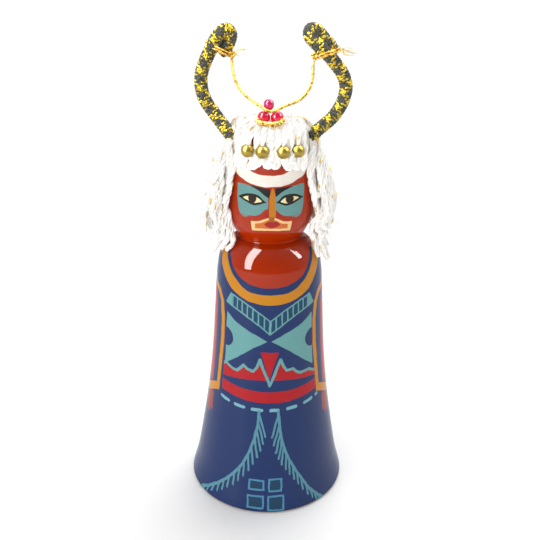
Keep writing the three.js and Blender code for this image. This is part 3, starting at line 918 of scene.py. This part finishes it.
def white_yarn(tree):
    """Soft white yarn with a thin gold thread: the thread's faces carry the attribute of that name."""
    here = tree.here()
    thread = tree.add("ShaderNodeAttribute", {"attribute_name": "thread"}, (), "Fac")
    lumps = tree.noise(here, 2.2 * MM, 3.0)
    yarn = tree.mix(lumps.over(0.5, 0.4), YARN_SHADE, YARN_WHITE)
    fibres = tree.noise(here, 0.25 * MM, 4.0)
    shown = thread * tree.noise(here, 3.0 * MM, 1.0).over(0.60, 0.08)
    return {
        "Base Color": tree.mix(shown, yarn, THREAD_GOLD),
        "Metallic": shown * 0.6,
        "Roughness": 0.85 - thread * 0.5,
        "Sheen Weight": 0.7,
        "Sheen Roughness": 0.6,
        # Painted glow: lifts the shade between the strands.
        "Emission Color": YARN_PAINTED_GLOW,
        "Emission Strength": PAINTED_GLOW_STRENGTH,
        "Normal": tree.bump(fibres, 0.07 * MM, 0.5),
    }


WHITE_YARN = material_of("white_yarn", white_yarn)


def swell(azimuth):
    """How far the wig stands out round the head, less at the back than at the sides."""
    return WIG_BACK + (WIG_SIDE - WIG_BACK) * math.sin(math.radians(azimuth)) ** 2


def hair(azimuth, depth, foot, flick, rng):
    """A strand from the crown to its cut end: depth sets it into the wig, and flick turns its end out."""
    sway = rng.uniform(-4, 4)
    belly = swell(azimuth) - depth
    root = max(BEHIND_HORN, min(360 - BEHIND_HORN, azimuth % 360))
    places = [
        around(root + sway, -2.5, HEAD_TOP + 0.9 - 0.4 * depth),
        around(root, 8.4, HEAD_TOP + 0.4 - 0.4 * depth),
        around(root, CROWN + 1.1 - 0.4 * depth, HEAD_TOP - 2.4),
        around(0.7 * root + 0.3 * azimuth, CROWN + 2.2 - 0.5 * depth, HEAD_TOP - 6.5),
        around(azimuth - sway / 2, 0.5 * (CROWN + belly) + 1.7, NECK + 20),
        around(azimuth + sway, belly + 0.4, NECK + 10),
        around(azimuth, belly - 0.4, 0.5 * (NECK + 10 + foot)),
        around(azimuth - sway / 2, belly - 1 + 0.3 * flick, foot + 1),
        around(azimuth - sway, belly - 1 + flick, foot + 0.4 * abs(flick)),
    ]
    return tapered(through(places, 6), 0.6, 0.45, 4)


def front_lock(azimuth, foot, flick, rng):
    """A strand beside the fringe: it leaves the crown under the horn and sweeps out along the cheek."""
    hand = math.copysign(1, azimuth)
    places = [
        around(azimuth + hand * 26, CROWN - 0.6, HEAD_TOP - 3.6),
        around(azimuth + hand * 16, CROWN + 1, HEAD_TOP - 5.4),
        around(azimuth + hand * 5, CROWN + 1.5, HEAD_TOP - 9),
        around(azimuth + hand * rng.uniform(0, 3), CROWN + 2, HEAD_TOP - 14),
        around(azimuth + hand * rng.uniform(2, 6), CROWN + 3, 0.5 * (HEAD_TOP - 14 + foot)),
        around(azimuth + hand * 7, CROWN + 3.4 + 0.4 * flick, foot + 1.2),
        around(azimuth + hand * (8 + 2 * flick), CROWN + 3.2 + flick, foot + 0.5 * abs(flick)),
    ]
    return tapered(through(places, 6), 0.7, 0.45, 4)


def crown_lines():
    """Strands laid flat from front to back, which hide the wood between the fringe and the falls."""
    lines = []
    for number in range(CROWN_STRANDS):
        across = CROWN_HALF * (2 * number / (CROWN_STRANDS - 1) - 1)
        drop = CROWN_FALL * max(0, abs(across) - CROWN_FLAT) ** 3
        front = -0.6 * math.sqrt(CROWN**2 - across**2)
        places = [Vector((across, y, HEAD_TOP + 0.4 - drop)) * MM for y in (front, front / 2, 0, 2.5, 5)]
        lines.append(tapered(through(places, 4), 0.8, 0.8))
    return lines


def wig_lines():
    """Two layers of strands round the head, each (count, depth, foot), and the locks beside the fringe."""
    rng = random.Random(11)
    lines = []
    for layer, (count, depth, foot) in enumerate(WIG_LAYERS):
        for number in range(count):
            azimuth = FALL_START + (360 - 2 * FALL_START) * (number + 0.5 * layer) / (count - 0.5)
            drop = rng.uniform(-2.2, 2.2)
            set_in = depth + rng.uniform(-0.4, 0.4)
            flick = rng.uniform(-1.4, 1.9)
            lines.append(hair(azimuth, set_in, foot + drop, flick, rng))
    for azimuth, foot, flick in FRONT_LOCKS:
        lines.append(front_lock(azimuth, foot, flick, rng))
    return lines


def tail_lines():
    """Thin tails that leave the inside of the locks and fall over the shoulders."""
    rng = random.Random(5)
    lines = []
    for azimuth in TAILS:
        front = max(0, 1 - abs(abs(azimuth) - 58) / 16)
        foot = NECK - rng.uniform(3.4, 6.6) + 2.4 * front
        start = swell(azimuth) - 1.6 - 2 * front
        sway = rng.uniform(-5, 5)
        places = [
            around(azimuth, start, NECK + 9),
            around(azimuth + sway, start - 1.6, NECK + 3),
            around(azimuth - sway / 2, start - 0.9, NECK - 1),
            around(azimuth + sway / 2, 17.4 - 3.2 * front + rng.uniform(0, 1), foot),
        ]
        lines.append(tapered(through(places, 8), 0.8, 0.4, 4))
    return lines


def curl_lines():
    """The lock at the doll's right side that ends in an open curl."""
    rng = random.Random(3)
    lines = []
    for number in range(CURL_STRANDS):
        middle = Vector((CURL_MIDDLE[0], -CURL_FORWARD - CURL_APART * number, CURL_MIDDLE[1]))
        shrink = rng.uniform(0.82, 1.05)
        ring = [Vector((across, middle.y, height)) for across, height in CURL_RING]
        places = [(middle + (place - middle) * shrink) * MM for place in ring]
        lines.append(tapered(through(places, 6), 0.7, 0.4, 5))
    return lines


def joined(name, pieces):
    """Several meshes as one piece, with the materials they have in common kept once."""
    for other in bpy.context.view_layer.objects:
        other.select_set(other in pieces)
    bpy.context.view_layer.objects.active = pieces[0]
    bpy.ops.object.join()
    pieces[0].name = name
    pieces[0].data.name = name
    pieces[0].select_set(False)
    return pieces[0]


def wisp_lines():
    """Loose fibres that have come out of the yarn, along the same falls as the strands."""
    rng = random.Random(29)
    lines = []
    for number in range(WISP_COUNT):
        azimuth = rng.uniform(58, 302)
        strand = hair(azimuth, rng.uniform(-0.8, 0.4), rng.uniform(82, 96), rng.uniform(-2, 3.5), rng)
        start = rng.randrange(0, len(strand) // 2)
        lines.append(strand[start:])
    for places in LOOSE_ENDS:
        lines.append(tapered(through([Vector(place) * MM for place in places], 8), 1.0, 0.5))
    return lines


falls = crown_lines() + wig_lines() + tail_lines() + curl_lines()
strands = laid("yarn_wig", PLIED, falls, YARN_SIZES, WHITE_YARN, 7)
wisps = laid("wig_wisps", PLIED, wisp_lines(), WISP_SIZES, WHITE_YARN)
wig = joined("yarn_wig", [strands, wisps])
replace(wig, "white_yarn", "wig")


# Fringe: eleven strands of the same yarn with thinner ones between them, laid forward over the crown and
# cut above the brow, where their ends curl. Four of them are threaded through metal beads.
STRAND_COUNT = 11
FRINGE_HALF_WIDTH = 9.6
FRINGE_LENGTH = 10.6
STRAND_RING = 12.75
BEAD_RING = 13.55
BEAD_HEIGHT = HEAD_TOP - 5.6
BEAD_ACROSS = {2: -6.4, 4: -2.4, 7: 3.3, 9: 7.3}
SHARE_IN_BEAD = 0.42
NARROW_REACH = 2.2
THINNER = 0.32
FRINGE_SIZES = {
    **YARN_SIZES, "Step": 0.3 * MM, "Sides": 8, "Turn": 6.5 * MM, "Crimp": 0.9 * MM,
    "Thread Radius": 0.075 * MM,
}


def fringe_line(number, rng):
    """A strand from the crown to the curl at its end. Half numbers are the thinner ones, set deeper."""
    across = FRINGE_HALF_WIDTH * (2 * number / (STRAND_COUNT - 1) - 1)
    azimuth = math.degrees(math.asin(0.94 * across / STRAND_RING))
    beaded = number in BEAD_ACROSS
    under = 1 if number % 1 else 0
    middle = math.degrees(math.asin(BEAD_ACROSS[number] / BEAD_RING)) if beaded else azimuth
    ring = BEAD_RING if beaded else STRAND_RING - 0.8 * under + rng.uniform(-0.1, 0.3)
    foot = HEAD_TOP - FRINGE_LENGTH + 1.3 * under + rng.uniform(-0.4, 0.9)
    curl = rng.choice((-1, 1)) * rng.uniform(4, 8)
    reach = math.sqrt(STRAND_RING**2 - across**2)
    places = [
        Vector((0.8 * across, -1, HEAD_TOP + 0.9 - 0.5 * under)) * MM,
        Vector((0.88 * across, -0.72 * reach, HEAD_TOP + 0.9 - 0.5 * under)) * MM,
        around(azimuth, STRAND_RING - 0.2 - 0.7 * under, HEAD_TOP - 1.2),
        around(middle, ring, BEAD_HEIGHT),
        around(azimuth, STRAND_RING + 0.4 - 1.0 * under, foot + 2.4),
        around(azimuth + curl / 2, STRAND_RING + 0.9, foot + 0.2),
        around(azimuth + curl, STRAND_RING + 0.9, foot + 0.5),
        around(azimuth + curl, STRAND_RING + 0.5, foot + 1.8),
    ]
    line = through(places, 6)
    thin = SHARE_IN_BEAD if beaded else 1.0
    shares = []
    for place in line:
        near = min(1, max(0, abs(place.z / MM - BEAD_HEIGHT) - NARROW_REACH) / 2)
        on_brow = place.y < -9 * MM
        shares.append(thin + (1 - thin) * near if on_brow else 1.0)
    return [
        (place, share * ends * (1 - THINNER * under))
        for (place, ends), share in zip(tapered(line, 0.8, 0.5, 4), shares)
    ]


fringe_rng = random.Random(21)
fringe_lines = [fringe_line(number / 2, fringe_rng) for number in range(2 * STRAND_COUNT - 1)]
fringe = laid("beaded_fringe", PLIED, fringe_lines, FRINGE_SIZES, WHITE_YARN, 4)
replace(fringe, "white_yarn", "fringe")


# Metal beads: four hollow beads, stamped from brass and polished. Each is threaded on a fringe strand
# through its bore.
GOLD_BEAD_RADIUS = 1.85
GOLD_BEAD_BORE = 0.75
BEAD_LIP = 0.12
BRASS_BRIGHT = (0.42, 0.31, 0.07)
BRASS_DULL = (0.27, 0.19, 0.04)


def bead_mesh(name, radius, bore, rings=28, sides=40):
    """A round bead with a bore along Z and softly rounded mouths, about the origin, in millimetres."""
    start = math.asin(bore / radius)
    outside = []
    for ring in range(rings + 1):
        angle = start + (math.pi - 2 * start) * ring / rings
        outside.append((radius * math.sin(angle), -radius * math.cos(angle)))
    low = outside[0][1]
    wall = [(bore - BEAD_LIP, -low - BEAD_LIP), (bore - BEAD_LIP, low + BEAD_LIP)]
    profile = outside + wall
    faces = []
    count = len(profile)
    for ring in range(count):
        for side in range(sides):
            after = (side + 1) % sides
            low_ring = ring * sides
            high_ring = ((ring + 1) % count) * sides
            faces.append((low_ring + side, low_ring + after, high_ring + after, high_ring + side))
    return smooth_mesh(name, turned_rings(profile, sides), faces)


def polished_brass(tree):
    here = tree.here()
    tarnish = tree.noise(here, 1.4 * MM, 3.0)
    return {
        "Base Color": tree.mix(tarnish.over(0.55, 0.35), BRASS_BRIGHT, BRASS_DULL),
        "Metallic": 1.0,
        "Roughness": tarnish * 0.14 + 0.30,
        "Normal": tree.bump(tree.noise(here, 0.5 * MM, 2.0), 0.015 * MM, 0.5),
    }


BRASS = material_of("polished_brass", polished_brass)
for number, across in enumerate(BEAD_ACROSS.values(), 1):
    mesh = bead_mesh(f"brass_bead_{number}", GOLD_BEAD_RADIUS, GOLD_BEAD_BORE)
    azimuth = math.degrees(math.asin(across / BEAD_RING))
    mesh.transform(Matrix.Translation(around(azimuth, BEAD_RING, BEAD_HEIGHT)))
    bead = placed(f"brass_bead_{number}", mesh, BRASS)
    replace(bead, "gold_bead", f"gold_bead_{number}")


# Glass beads: three pressed beads with a pearly skin, threaded side to side. Two red ones sit over the
# front of the crown and a deep pink one on top of them.
GLASS_BEAD_BORE = 0.5
GLASS_BEADS = {
    "left": (-2.1, 119.9, 1.8, "red_bead"),
    "right": (1.5, 119.95, 1.8, "red_bead"),
    "top": (-0.8, 123.4, 1.5, "pink_bead"),
}
GLASS_FORWARD = 8.8
RED_GLASS = ((0.72, 0.004, 0.05), (0.88, 0.03, 0.14))
PINK_GLASS = ((0.60, 0.002, 0.09), (0.80, 0.02, 0.18))


def glass_skin(deep, pale):
    """A glossy bead, deep in colour with a paler pearly bloom in patches."""

    def surface(tree):
        here = tree.here()
        bloom = tree.noise(here, 1.7 * MM, 1.0)
        return {
            "Base Color": tree.mix(bloom.over(0.55, 0.3), deep, pale),
            "Roughness": bloom * 0.1 + 0.08,
            "Coat Weight": 0.8,
            "Coat Roughness": 0.03,
            "Specular IOR Level": 0.2,
        }

    return surface


GLASS = {
    "red_bead": material_of("red_glass", glass_skin(*RED_GLASS)),
    "pink_bead": material_of("pink_glass", glass_skin(*PINK_GLASS)),
}
for name, (across, height, radius, slot) in GLASS_BEADS.items():
    mesh = bead_mesh(f"glass_bead_{name}_round", radius, GLASS_BEAD_BORE)
    mesh.transform(Matrix.Rotation(math.pi / 2, 4, "Y"))
    mesh.transform(Matrix.Translation(Vector((across, -GLASS_FORWARD, height)) * MM))
    bead = placed(f"glass_bead_{name}_round", mesh, GLASS[slot])
    replace(bead, slot, f"glass_bead_{name}")


# Bead cradle: a short gold cord of three plies. It passes under and in front of the two red beads, where
# it is glued to the fringe.
CRADLE_DIAMETER = 1.5
CRADLE_FORWARD = GLASS_FORWARD + 2.3
CRADLE_PLACES = [
    (-3.9, 1.6, 119.6), (-3, 0.2, 118.95), (-0.3, 0, 118.6), (2.4, 0.2, 118.95), (3.2, 1.6, 119.6)
]
cradle_line = through([Vector((x, back - CRADLE_FORWARD, z)) * MM for x, back, z in CRADLE_PLACES], 10)
cradle = laid(
    "bead_cradle_plies",
    PLIED,
    [tapered(cradle_line, 0.6, 0.6)],
    {**three_plies(CRADLE_DIAMETER * MM), "Turn": 2.2 * MM, "Step": 0.15 * MM, "Crimp Size": 1.0},
    GOLD_THREAD,
    3,
)
replace(cradle, "gold_cord", "bead_cradle")


# Horns: dark round braid with gold carriers in it, filled with cotton over a wire that holds the curve.
# Each is pushed into the side of the crown, bows outwards, comes back in over the head and is doubled
# back on itself at the tip.
HORN_RADIUS = 1.7
HORN_PATHS = {
    "left": [
        (-2.9, -6.6, 1.5), (-0.8, -4.4, 2), (0.8, -2.6, 1.6), (2.4, -0.8, 0.8), (4.1, 1.4, 0.2),
        (5.9, 3.7, 0), (7.4, 6.2, 0), (8.2, 8.9, 0), (8.4, 11.4, 0), (8, 13.9, 0),
        (7.2, 16, 0.2), (6.2, 18.2, 0.5), (5, 20.3, 0.7), (3.9, 22.4, 0.6), (2.6, 24, 0.3),
        (1.2, 24.7, -0.2), (0.2, 23.8, -0.6), (0.4, 21.9, -0.8), (1.6, 19.9, -0.8), (3, 18.4, -0.8),
    ],
    "right": [
        (-3, -6.6, 1.5), (-0.8, -4.2, 2), (1.1, -2.3, 1.6), (3.1, -0.7, 0.8), (5.3, 1.1, 0.2),
        (7.3, 3.7, 0), (8.6, 6.5, 0), (9.2, 9.5, 0), (8.8, 11.9, 0), (7.7, 14.1, 0),
        (6, 16.2, 0.2), (4.2, 18.2, 0.5), (2, 20.2, 0.7), (0, 22, 0.6), (-1.4, 23.6, 0.3),
        (-1.2, 25, -0.2), (0.2, 25, -0.6), (2, 23.3, -0.9), (3.9, 21.4, -0.9), (5.6, 19.6, -0.9),
    ],
}
BRAID_SIZES = {
    "Carriers": 10, "Sides": 6, "Ply Radius": 0.23 * MM, "Lay Radius": 1.56 * MM, "Turn": 9.0 * MM,
    "Step": 0.3 * MM, "Weave": 0.15 * MM, "Ends Apart": 0.27,
}
CORE_SIZES = {
    "Plies": 1, "Sides": 10, "Ply Radius": 1.38 * MM, "Step": 0.8 * MM, "Turn": 1.0, "Crimp Size": 1.0,
}
FUZZ_SIZES = {
    "Plies": 1, "Sides": 3, "Ply Radius": 0.035 * MM, "Step": 0.3 * MM, "Turn": 1.0, "Crimp Size": 1.0,
}
FUZZ_COUNT = 900
BRAID_DARK = (0.014, 0.018, 0.009)
BRAID_PALE = (0.105, 0.108, 0.075)
# Gold film: bright specks that are partly painted glints, on film rubbed brown and unlit between them.
FILM_GOLD = (0.86, 0.62, 0.03)
FILM_RUBBED_AND_UNLIT = (0.10, 0.07, 0.01)


def braid_tree():
    """Carriers round every line in both directions, over and under each other, two ends to each."""
    group, tree, given = node_group("round_braid", BRAID_SIZES)
    line = cut_line(tree, given)
    carriers = given.other("Carriers")
    copies = copied(tree, line, carriers * 4)
    number = copies.other("Duplicate Index")
    end = number.math("MODULO", 2) - 0.5
    carrier = (number / 2).math("FLOOR")
    backward = carrier.math("GREATER_THAN", carriers - 0.5)
    hand = 1 - 2 * backward
    along = tree.add("GeometryNodeSplineParameter", None, (), "Length")
    sweep = 2 * math.pi * along / given.other("Turn")
    angle = hand * sweep + 2 * math.pi * carrier / carriers + end * given.other("Ends Apart")
    weave = (sweep * carriers).math("COSINE") * hand * given.other("Weave")
    thickness = tree.add("GeometryNodeInputRadius")
    moved = turned_out(tree, copies, angle, (given.other("Lay Radius") + weave) * thickness)
    gold = carrier.math("MODULO", 5).math("LESS_THAN", 1.5)
    end_group(tree, given, tubes(tree, given, marked(tree, moved, "gold", gold), thickness))
    return group


def horn_braid(tree):
    """Dark grey-green cotton with gold film thread: gold carriers carry the attribute of that name."""
    here = tree.here()
    gold = tree.add("ShaderNodeAttribute", {"attribute_name": "gold"}, (), "Fac")
    lumps = tree.noise(here, 0.5 * MM, 3.0)
    dark = tree.mix(lumps.over(0.5, 0.14), BRAID_DARK, BRAID_PALE)
    # Painted glints: bright gold specks on rubbed film, which is partly real wear.
    glints_and_rubbing = tree.noise(here, 0.35 * MM, 2.0)
    bright = tree.mix(glints_and_rubbing.over(0.515, 0.08), FILM_GOLD, FILM_RUBBED_AND_UNLIT)
    fibres = tree.noise(here, 0.18 * MM, 4.0)
    return {
        "Base Color": tree.mix(gold, dark, bright),
        "Metallic": gold * 0.75,
        "Roughness": 0.8 - gold * 0.45,
        "Sheen Weight": 0.15,
        "Normal": tree.bump(fibres, 0.08 * MM, 0.8),
    }


BRAID = braid_tree()
HORN_BRAID = material_of("horn_braid", horn_braid)


def horn_fuzz(line, seed):
    """Short stray fibres that stand off the braid."""
    rng = random.Random(seed)
    lines = []
    for number in range(FUZZ_COUNT):
        spot = rng.randrange(1, len(line) - 1)
        along = (line[spot + 1] - line[spot - 1]).normalized()
        out = along.cross(Vector((rng.gauss(0, 1), rng.gauss(0, 1), rng.gauss(0, 1)))).normalized()
        foot = line[spot] + out * (HORN_RADIUS - 0.35) * MM
        lean = along * rng.uniform(-0.6, 0.6) + out.cross(along) * rng.uniform(-0.6, 0.6)
        tip = foot + (out + lean) * rng.uniform(0.35, 0.75) * MM
        bend = (foot + tip) / 2 + along * rng.uniform(-0.1, 0.1) * MM
        lines.append([(foot, 1.0), (bend, 0.9), (tip, 0.5)])
    return lines


for side, hand, seed in (("left", -1, 31), ("right", 1, 32)):
    places = []
    for out, up, forward in HORN_PATHS[side]:
        places.append(Vector((hand * (CROWN + out), -forward, HEAD_TOP + up)) * MM)
    line = through(places, 8)
    braid = laid(f"braided_horn_{side}", BRAID, [tapered(line, 1.0, 0.75, 6)], BRAID_SIZES, HORN_BRAID)
    core = laid(f"horn_core_{side}", PLIED, [tapered(line, 1.0, 0.5, 6)], CORE_SIZES, HORN_BRAID)
    fuzz = laid(f"horn_fuzz_{side}", PLIED, horn_fuzz(line, seed), FUZZ_SIZES, HORN_BRAID)
    horn = joined(f"braided_horn_{side}", [braid, core, fuzz])
    replace(horn, "horn_cord", f"horn_{side}")


# Ties: gold thread wound round each doubled horn tip. It is knotted at the inner end, where the hanging
# cord starts, and its cut ends are frayed.
TIE_RINGS = {"left": (-14.6, 137, 24, 3.9), "right": (15.0, 136.3, 16, 3.6)}
FRAYS = {"left": (Vector((1, -0.1, 0.4)), 1), "right": (Vector((1, -0.1, -0.3)), -1)}
TIE_DEEP = 2.35
TIE_TURNS = 2
TIE_STEPS = 24
TIE_SPREAD = 1.5
KNOT_FORWARD = 0.8
KNOT_SIZE = 0.3
KNOT_STEPS = 30
FRAY_COUNT = 9
TIE_SIZES = {**three_plies(0.62 * MM), "Turn": 1.6 * MM, "Step": 0.15 * MM, "Crimp Size": 1.0}
FRAY_SIZES = {**FUZZ_SIZES, "Ply Radius": 0.07 * MM, "Sides": 4}


def tie_lines(side, seed):
    """The turns of thread, the knot and the frayed ends of one tie, as (thick lines, thin lines)."""
    rng = random.Random(seed)
    across, height, lean, reach = TIE_RINGS[side]
    hand = -1 if side == "left" else 1
    middle = Vector((across, 0, height))
    forward = Vector((0, -1, 0))
    inward = Matrix.Rotation(hand * -math.radians(lean), 3, "Y") @ Vector((-hand, 0, 0))
    upward = forward.cross(inward) * hand
    if upward.z < 0:
        upward = -upward
    wraps = []
    for number in range(TIE_TURNS * TIE_STEPS + 1):
        angle = 2 * math.pi * number / TIE_STEPS
        rise = upward * (number / (TIE_TURNS * TIE_STEPS) - 0.5) * TIE_SPREAD
        out = inward * reach * math.cos(angle) + forward * TIE_DEEP * math.sin(angle)
        wraps.append((middle + out + rise) * MM)
    knot = middle + inward * reach + forward * KNOT_FORWARD
    loop = []
    for number in range(KNOT_STEPS + 1):
        t = 2 * math.pi * number / KNOT_STEPS
        x = math.sin(t) + 2 * math.sin(2 * t)
        z = math.cos(t) - 2 * math.cos(2 * t)
        loop.append((knot + Vector((x, -math.sin(3 * t), z)) * KNOT_SIZE) * MM)
    cord_end = Vector(CORD_ROUTE[0 if side == "left" else -1])
    drop = through([knot * MM, (knot * MM + cord_end) / 2 + forward * 0.3 * MM, cord_end], 4)
    course, end = FRAYS[side]
    root = middle + inward * reach * end + forward * KNOT_FORWARD
    thin = []
    for number in range(FRAY_COUNT):
        spread = Vector((rng.gauss(0, 0.35), rng.gauss(0, 0.35), rng.gauss(0, 0.35)))
        tip = root + course * rng.uniform(1.2, 4.6) + spread * 1.4
        bend = root + (tip - root) * 0.5 + spread
        thin.append(tapered(through([root * MM, bend * MM, tip * MM], 6), 1.0, 0.6, 2))
    return [tapered(wraps, 0.8, 0.8), tapered(loop), tapered(drop)], thin


for side, seed in (("left", 41), ("right", 42)):
    thick, thin = tie_lines(side, seed)
    wraps = laid(f"tie_wraps_{side}", PLIED, thick, TIE_SIZES, GOLD_THREAD)
    frays = laid(f"tie_frays_{side}", PLIED, thin, FRAY_SIZES, GOLD_THREAD)
    tie = joined(f"gold_tie_{side}", [wraps, frays])
    replace(tie, "gold_cord", f"cord_tie_{side}")


# Studio: a wide pale table, white surroundings that are dimmer on the camera's side, two soft boxes that
# the lacquer mirrors, a wide fill in front and a broad light from behind.
TABLE_HALF = 15
TABLE_SHADES = ((0.90, 0.895, 0.89), (0.93, 0.925, 0.92))
LIGHTS_HEIGHT = 0.075
SUN_POWER = 1.5
SUN_SPREAD = 50
SUN_FROM = Vector((0.35, 1, 1.5))
ROOM_DIM = (0.26, 0.26, 0.26)
ROOM_BRIGHT = (1.0, 1.0, 1.0)
ROOM_POWER = 0.95


def pale_table(tree):
    here = tree.here()
    tooth = tree.noise(here, 2.0 * MM, 2.0)
    return {"Base Color": tree.mix(tooth, *TABLE_SHADES), "Roughness": 0.7}


table_mesh = bpy.data.meshes.new("table_top")
corners = [(-1, -1), (1, -1), (1, 1), (-1, 1)]
table_mesh.from_pydata([(x * TABLE_HALF, y * TABLE_HALF, 0) for x, y in corners], [], [(0, 1, 2, 3)])
table_top = placed("table_top", table_mesh, material_of("pale_table", pale_table))


def direction(azimuth, elevation):
    """A unit vector at an angle from straight ahead of the doll and an angle up."""
    turn = math.radians(azimuth)
    up = math.radians(elevation)
    return Vector((math.cos(up) * math.sin(turn), -math.cos(up) * math.cos(turn), math.sin(up)))


def soft_box(name, low, high, distance, width, power):
    """A rectangular area light that faces the doll and reaches from a low direction to a high one."""
    foot = distance * direction(*low)
    head = distance * direction(*high)
    away = ((foot + head) / 2).normalized()
    along = (head - foot).normalized()
    across = along.cross(away).normalized()
    data = bpy.data.lights.new(name, "AREA")
    data.shape = "RECTANGLE"
    data.size = width
    data.size_y = (head - foot).length
    data.energy = power
    light = bpy.data.objects.new(name, data)
    bpy.context.scene.collection.objects.link(light)
    facing = Matrix((across, along, away)).transposed().to_4x4()
    light.matrix_world = Matrix.Translation((foot + head) / 2 + Vector((0, 0, LIGHTS_HEIGHT))) @ facing
    return light


# The two tall boxes are what the lacquer mirrors, and the wide fill is what lights the paint.
left_box = soft_box("left_box", low=(-47, 8), high=(-86, 73), distance=0.6, width=0.15, power=9)
left_box.visible_diffuse = False
right_box = soft_box("right_box", low=(84, 30), high=(118, 68), distance=0.6, width=0.1, power=4)
right_box.visible_diffuse = False
front_fill = soft_box("front_fill", low=(-30, -4), high=(-30, 30), distance=1.4, width=1.6, power=11.3)
front_fill.visible_glossy = False

sun_data = bpy.data.lights.new("back_sun", "SUN")
sun_data.energy = SUN_POWER
sun_data.angle = math.radians(SUN_SPREAD)
back_sun = bpy.data.objects.new("back_sun", sun_data)
bpy.context.scene.collection.objects.link(back_sun)
back_sun.matrix_world = SUN_FROM.to_track_quat("Z", "Y").to_matrix().to_4x4()

world = bpy.data.worlds.new("white_room")
world.use_nodes = True
world.node_tree.nodes.clear()
room = Tree(world.node_tree)
around_room = room.add("ShaderNodeTexCoord", None, (), "Generated")
away = room.add("ShaderNodeSeparateXYZ", None, [around_room], "Y")
tone = room.mix(away.over(-0.25, 0.9), ROOM_DIM, ROOM_BRIGHT)
walls = room.add("ShaderNodeBackground", None, {"Color": tone, "Strength": ROOM_POWER})
room.add("ShaderNodeOutputWorld", None, {"Surface": walls})
bpy.context.scene.world = world
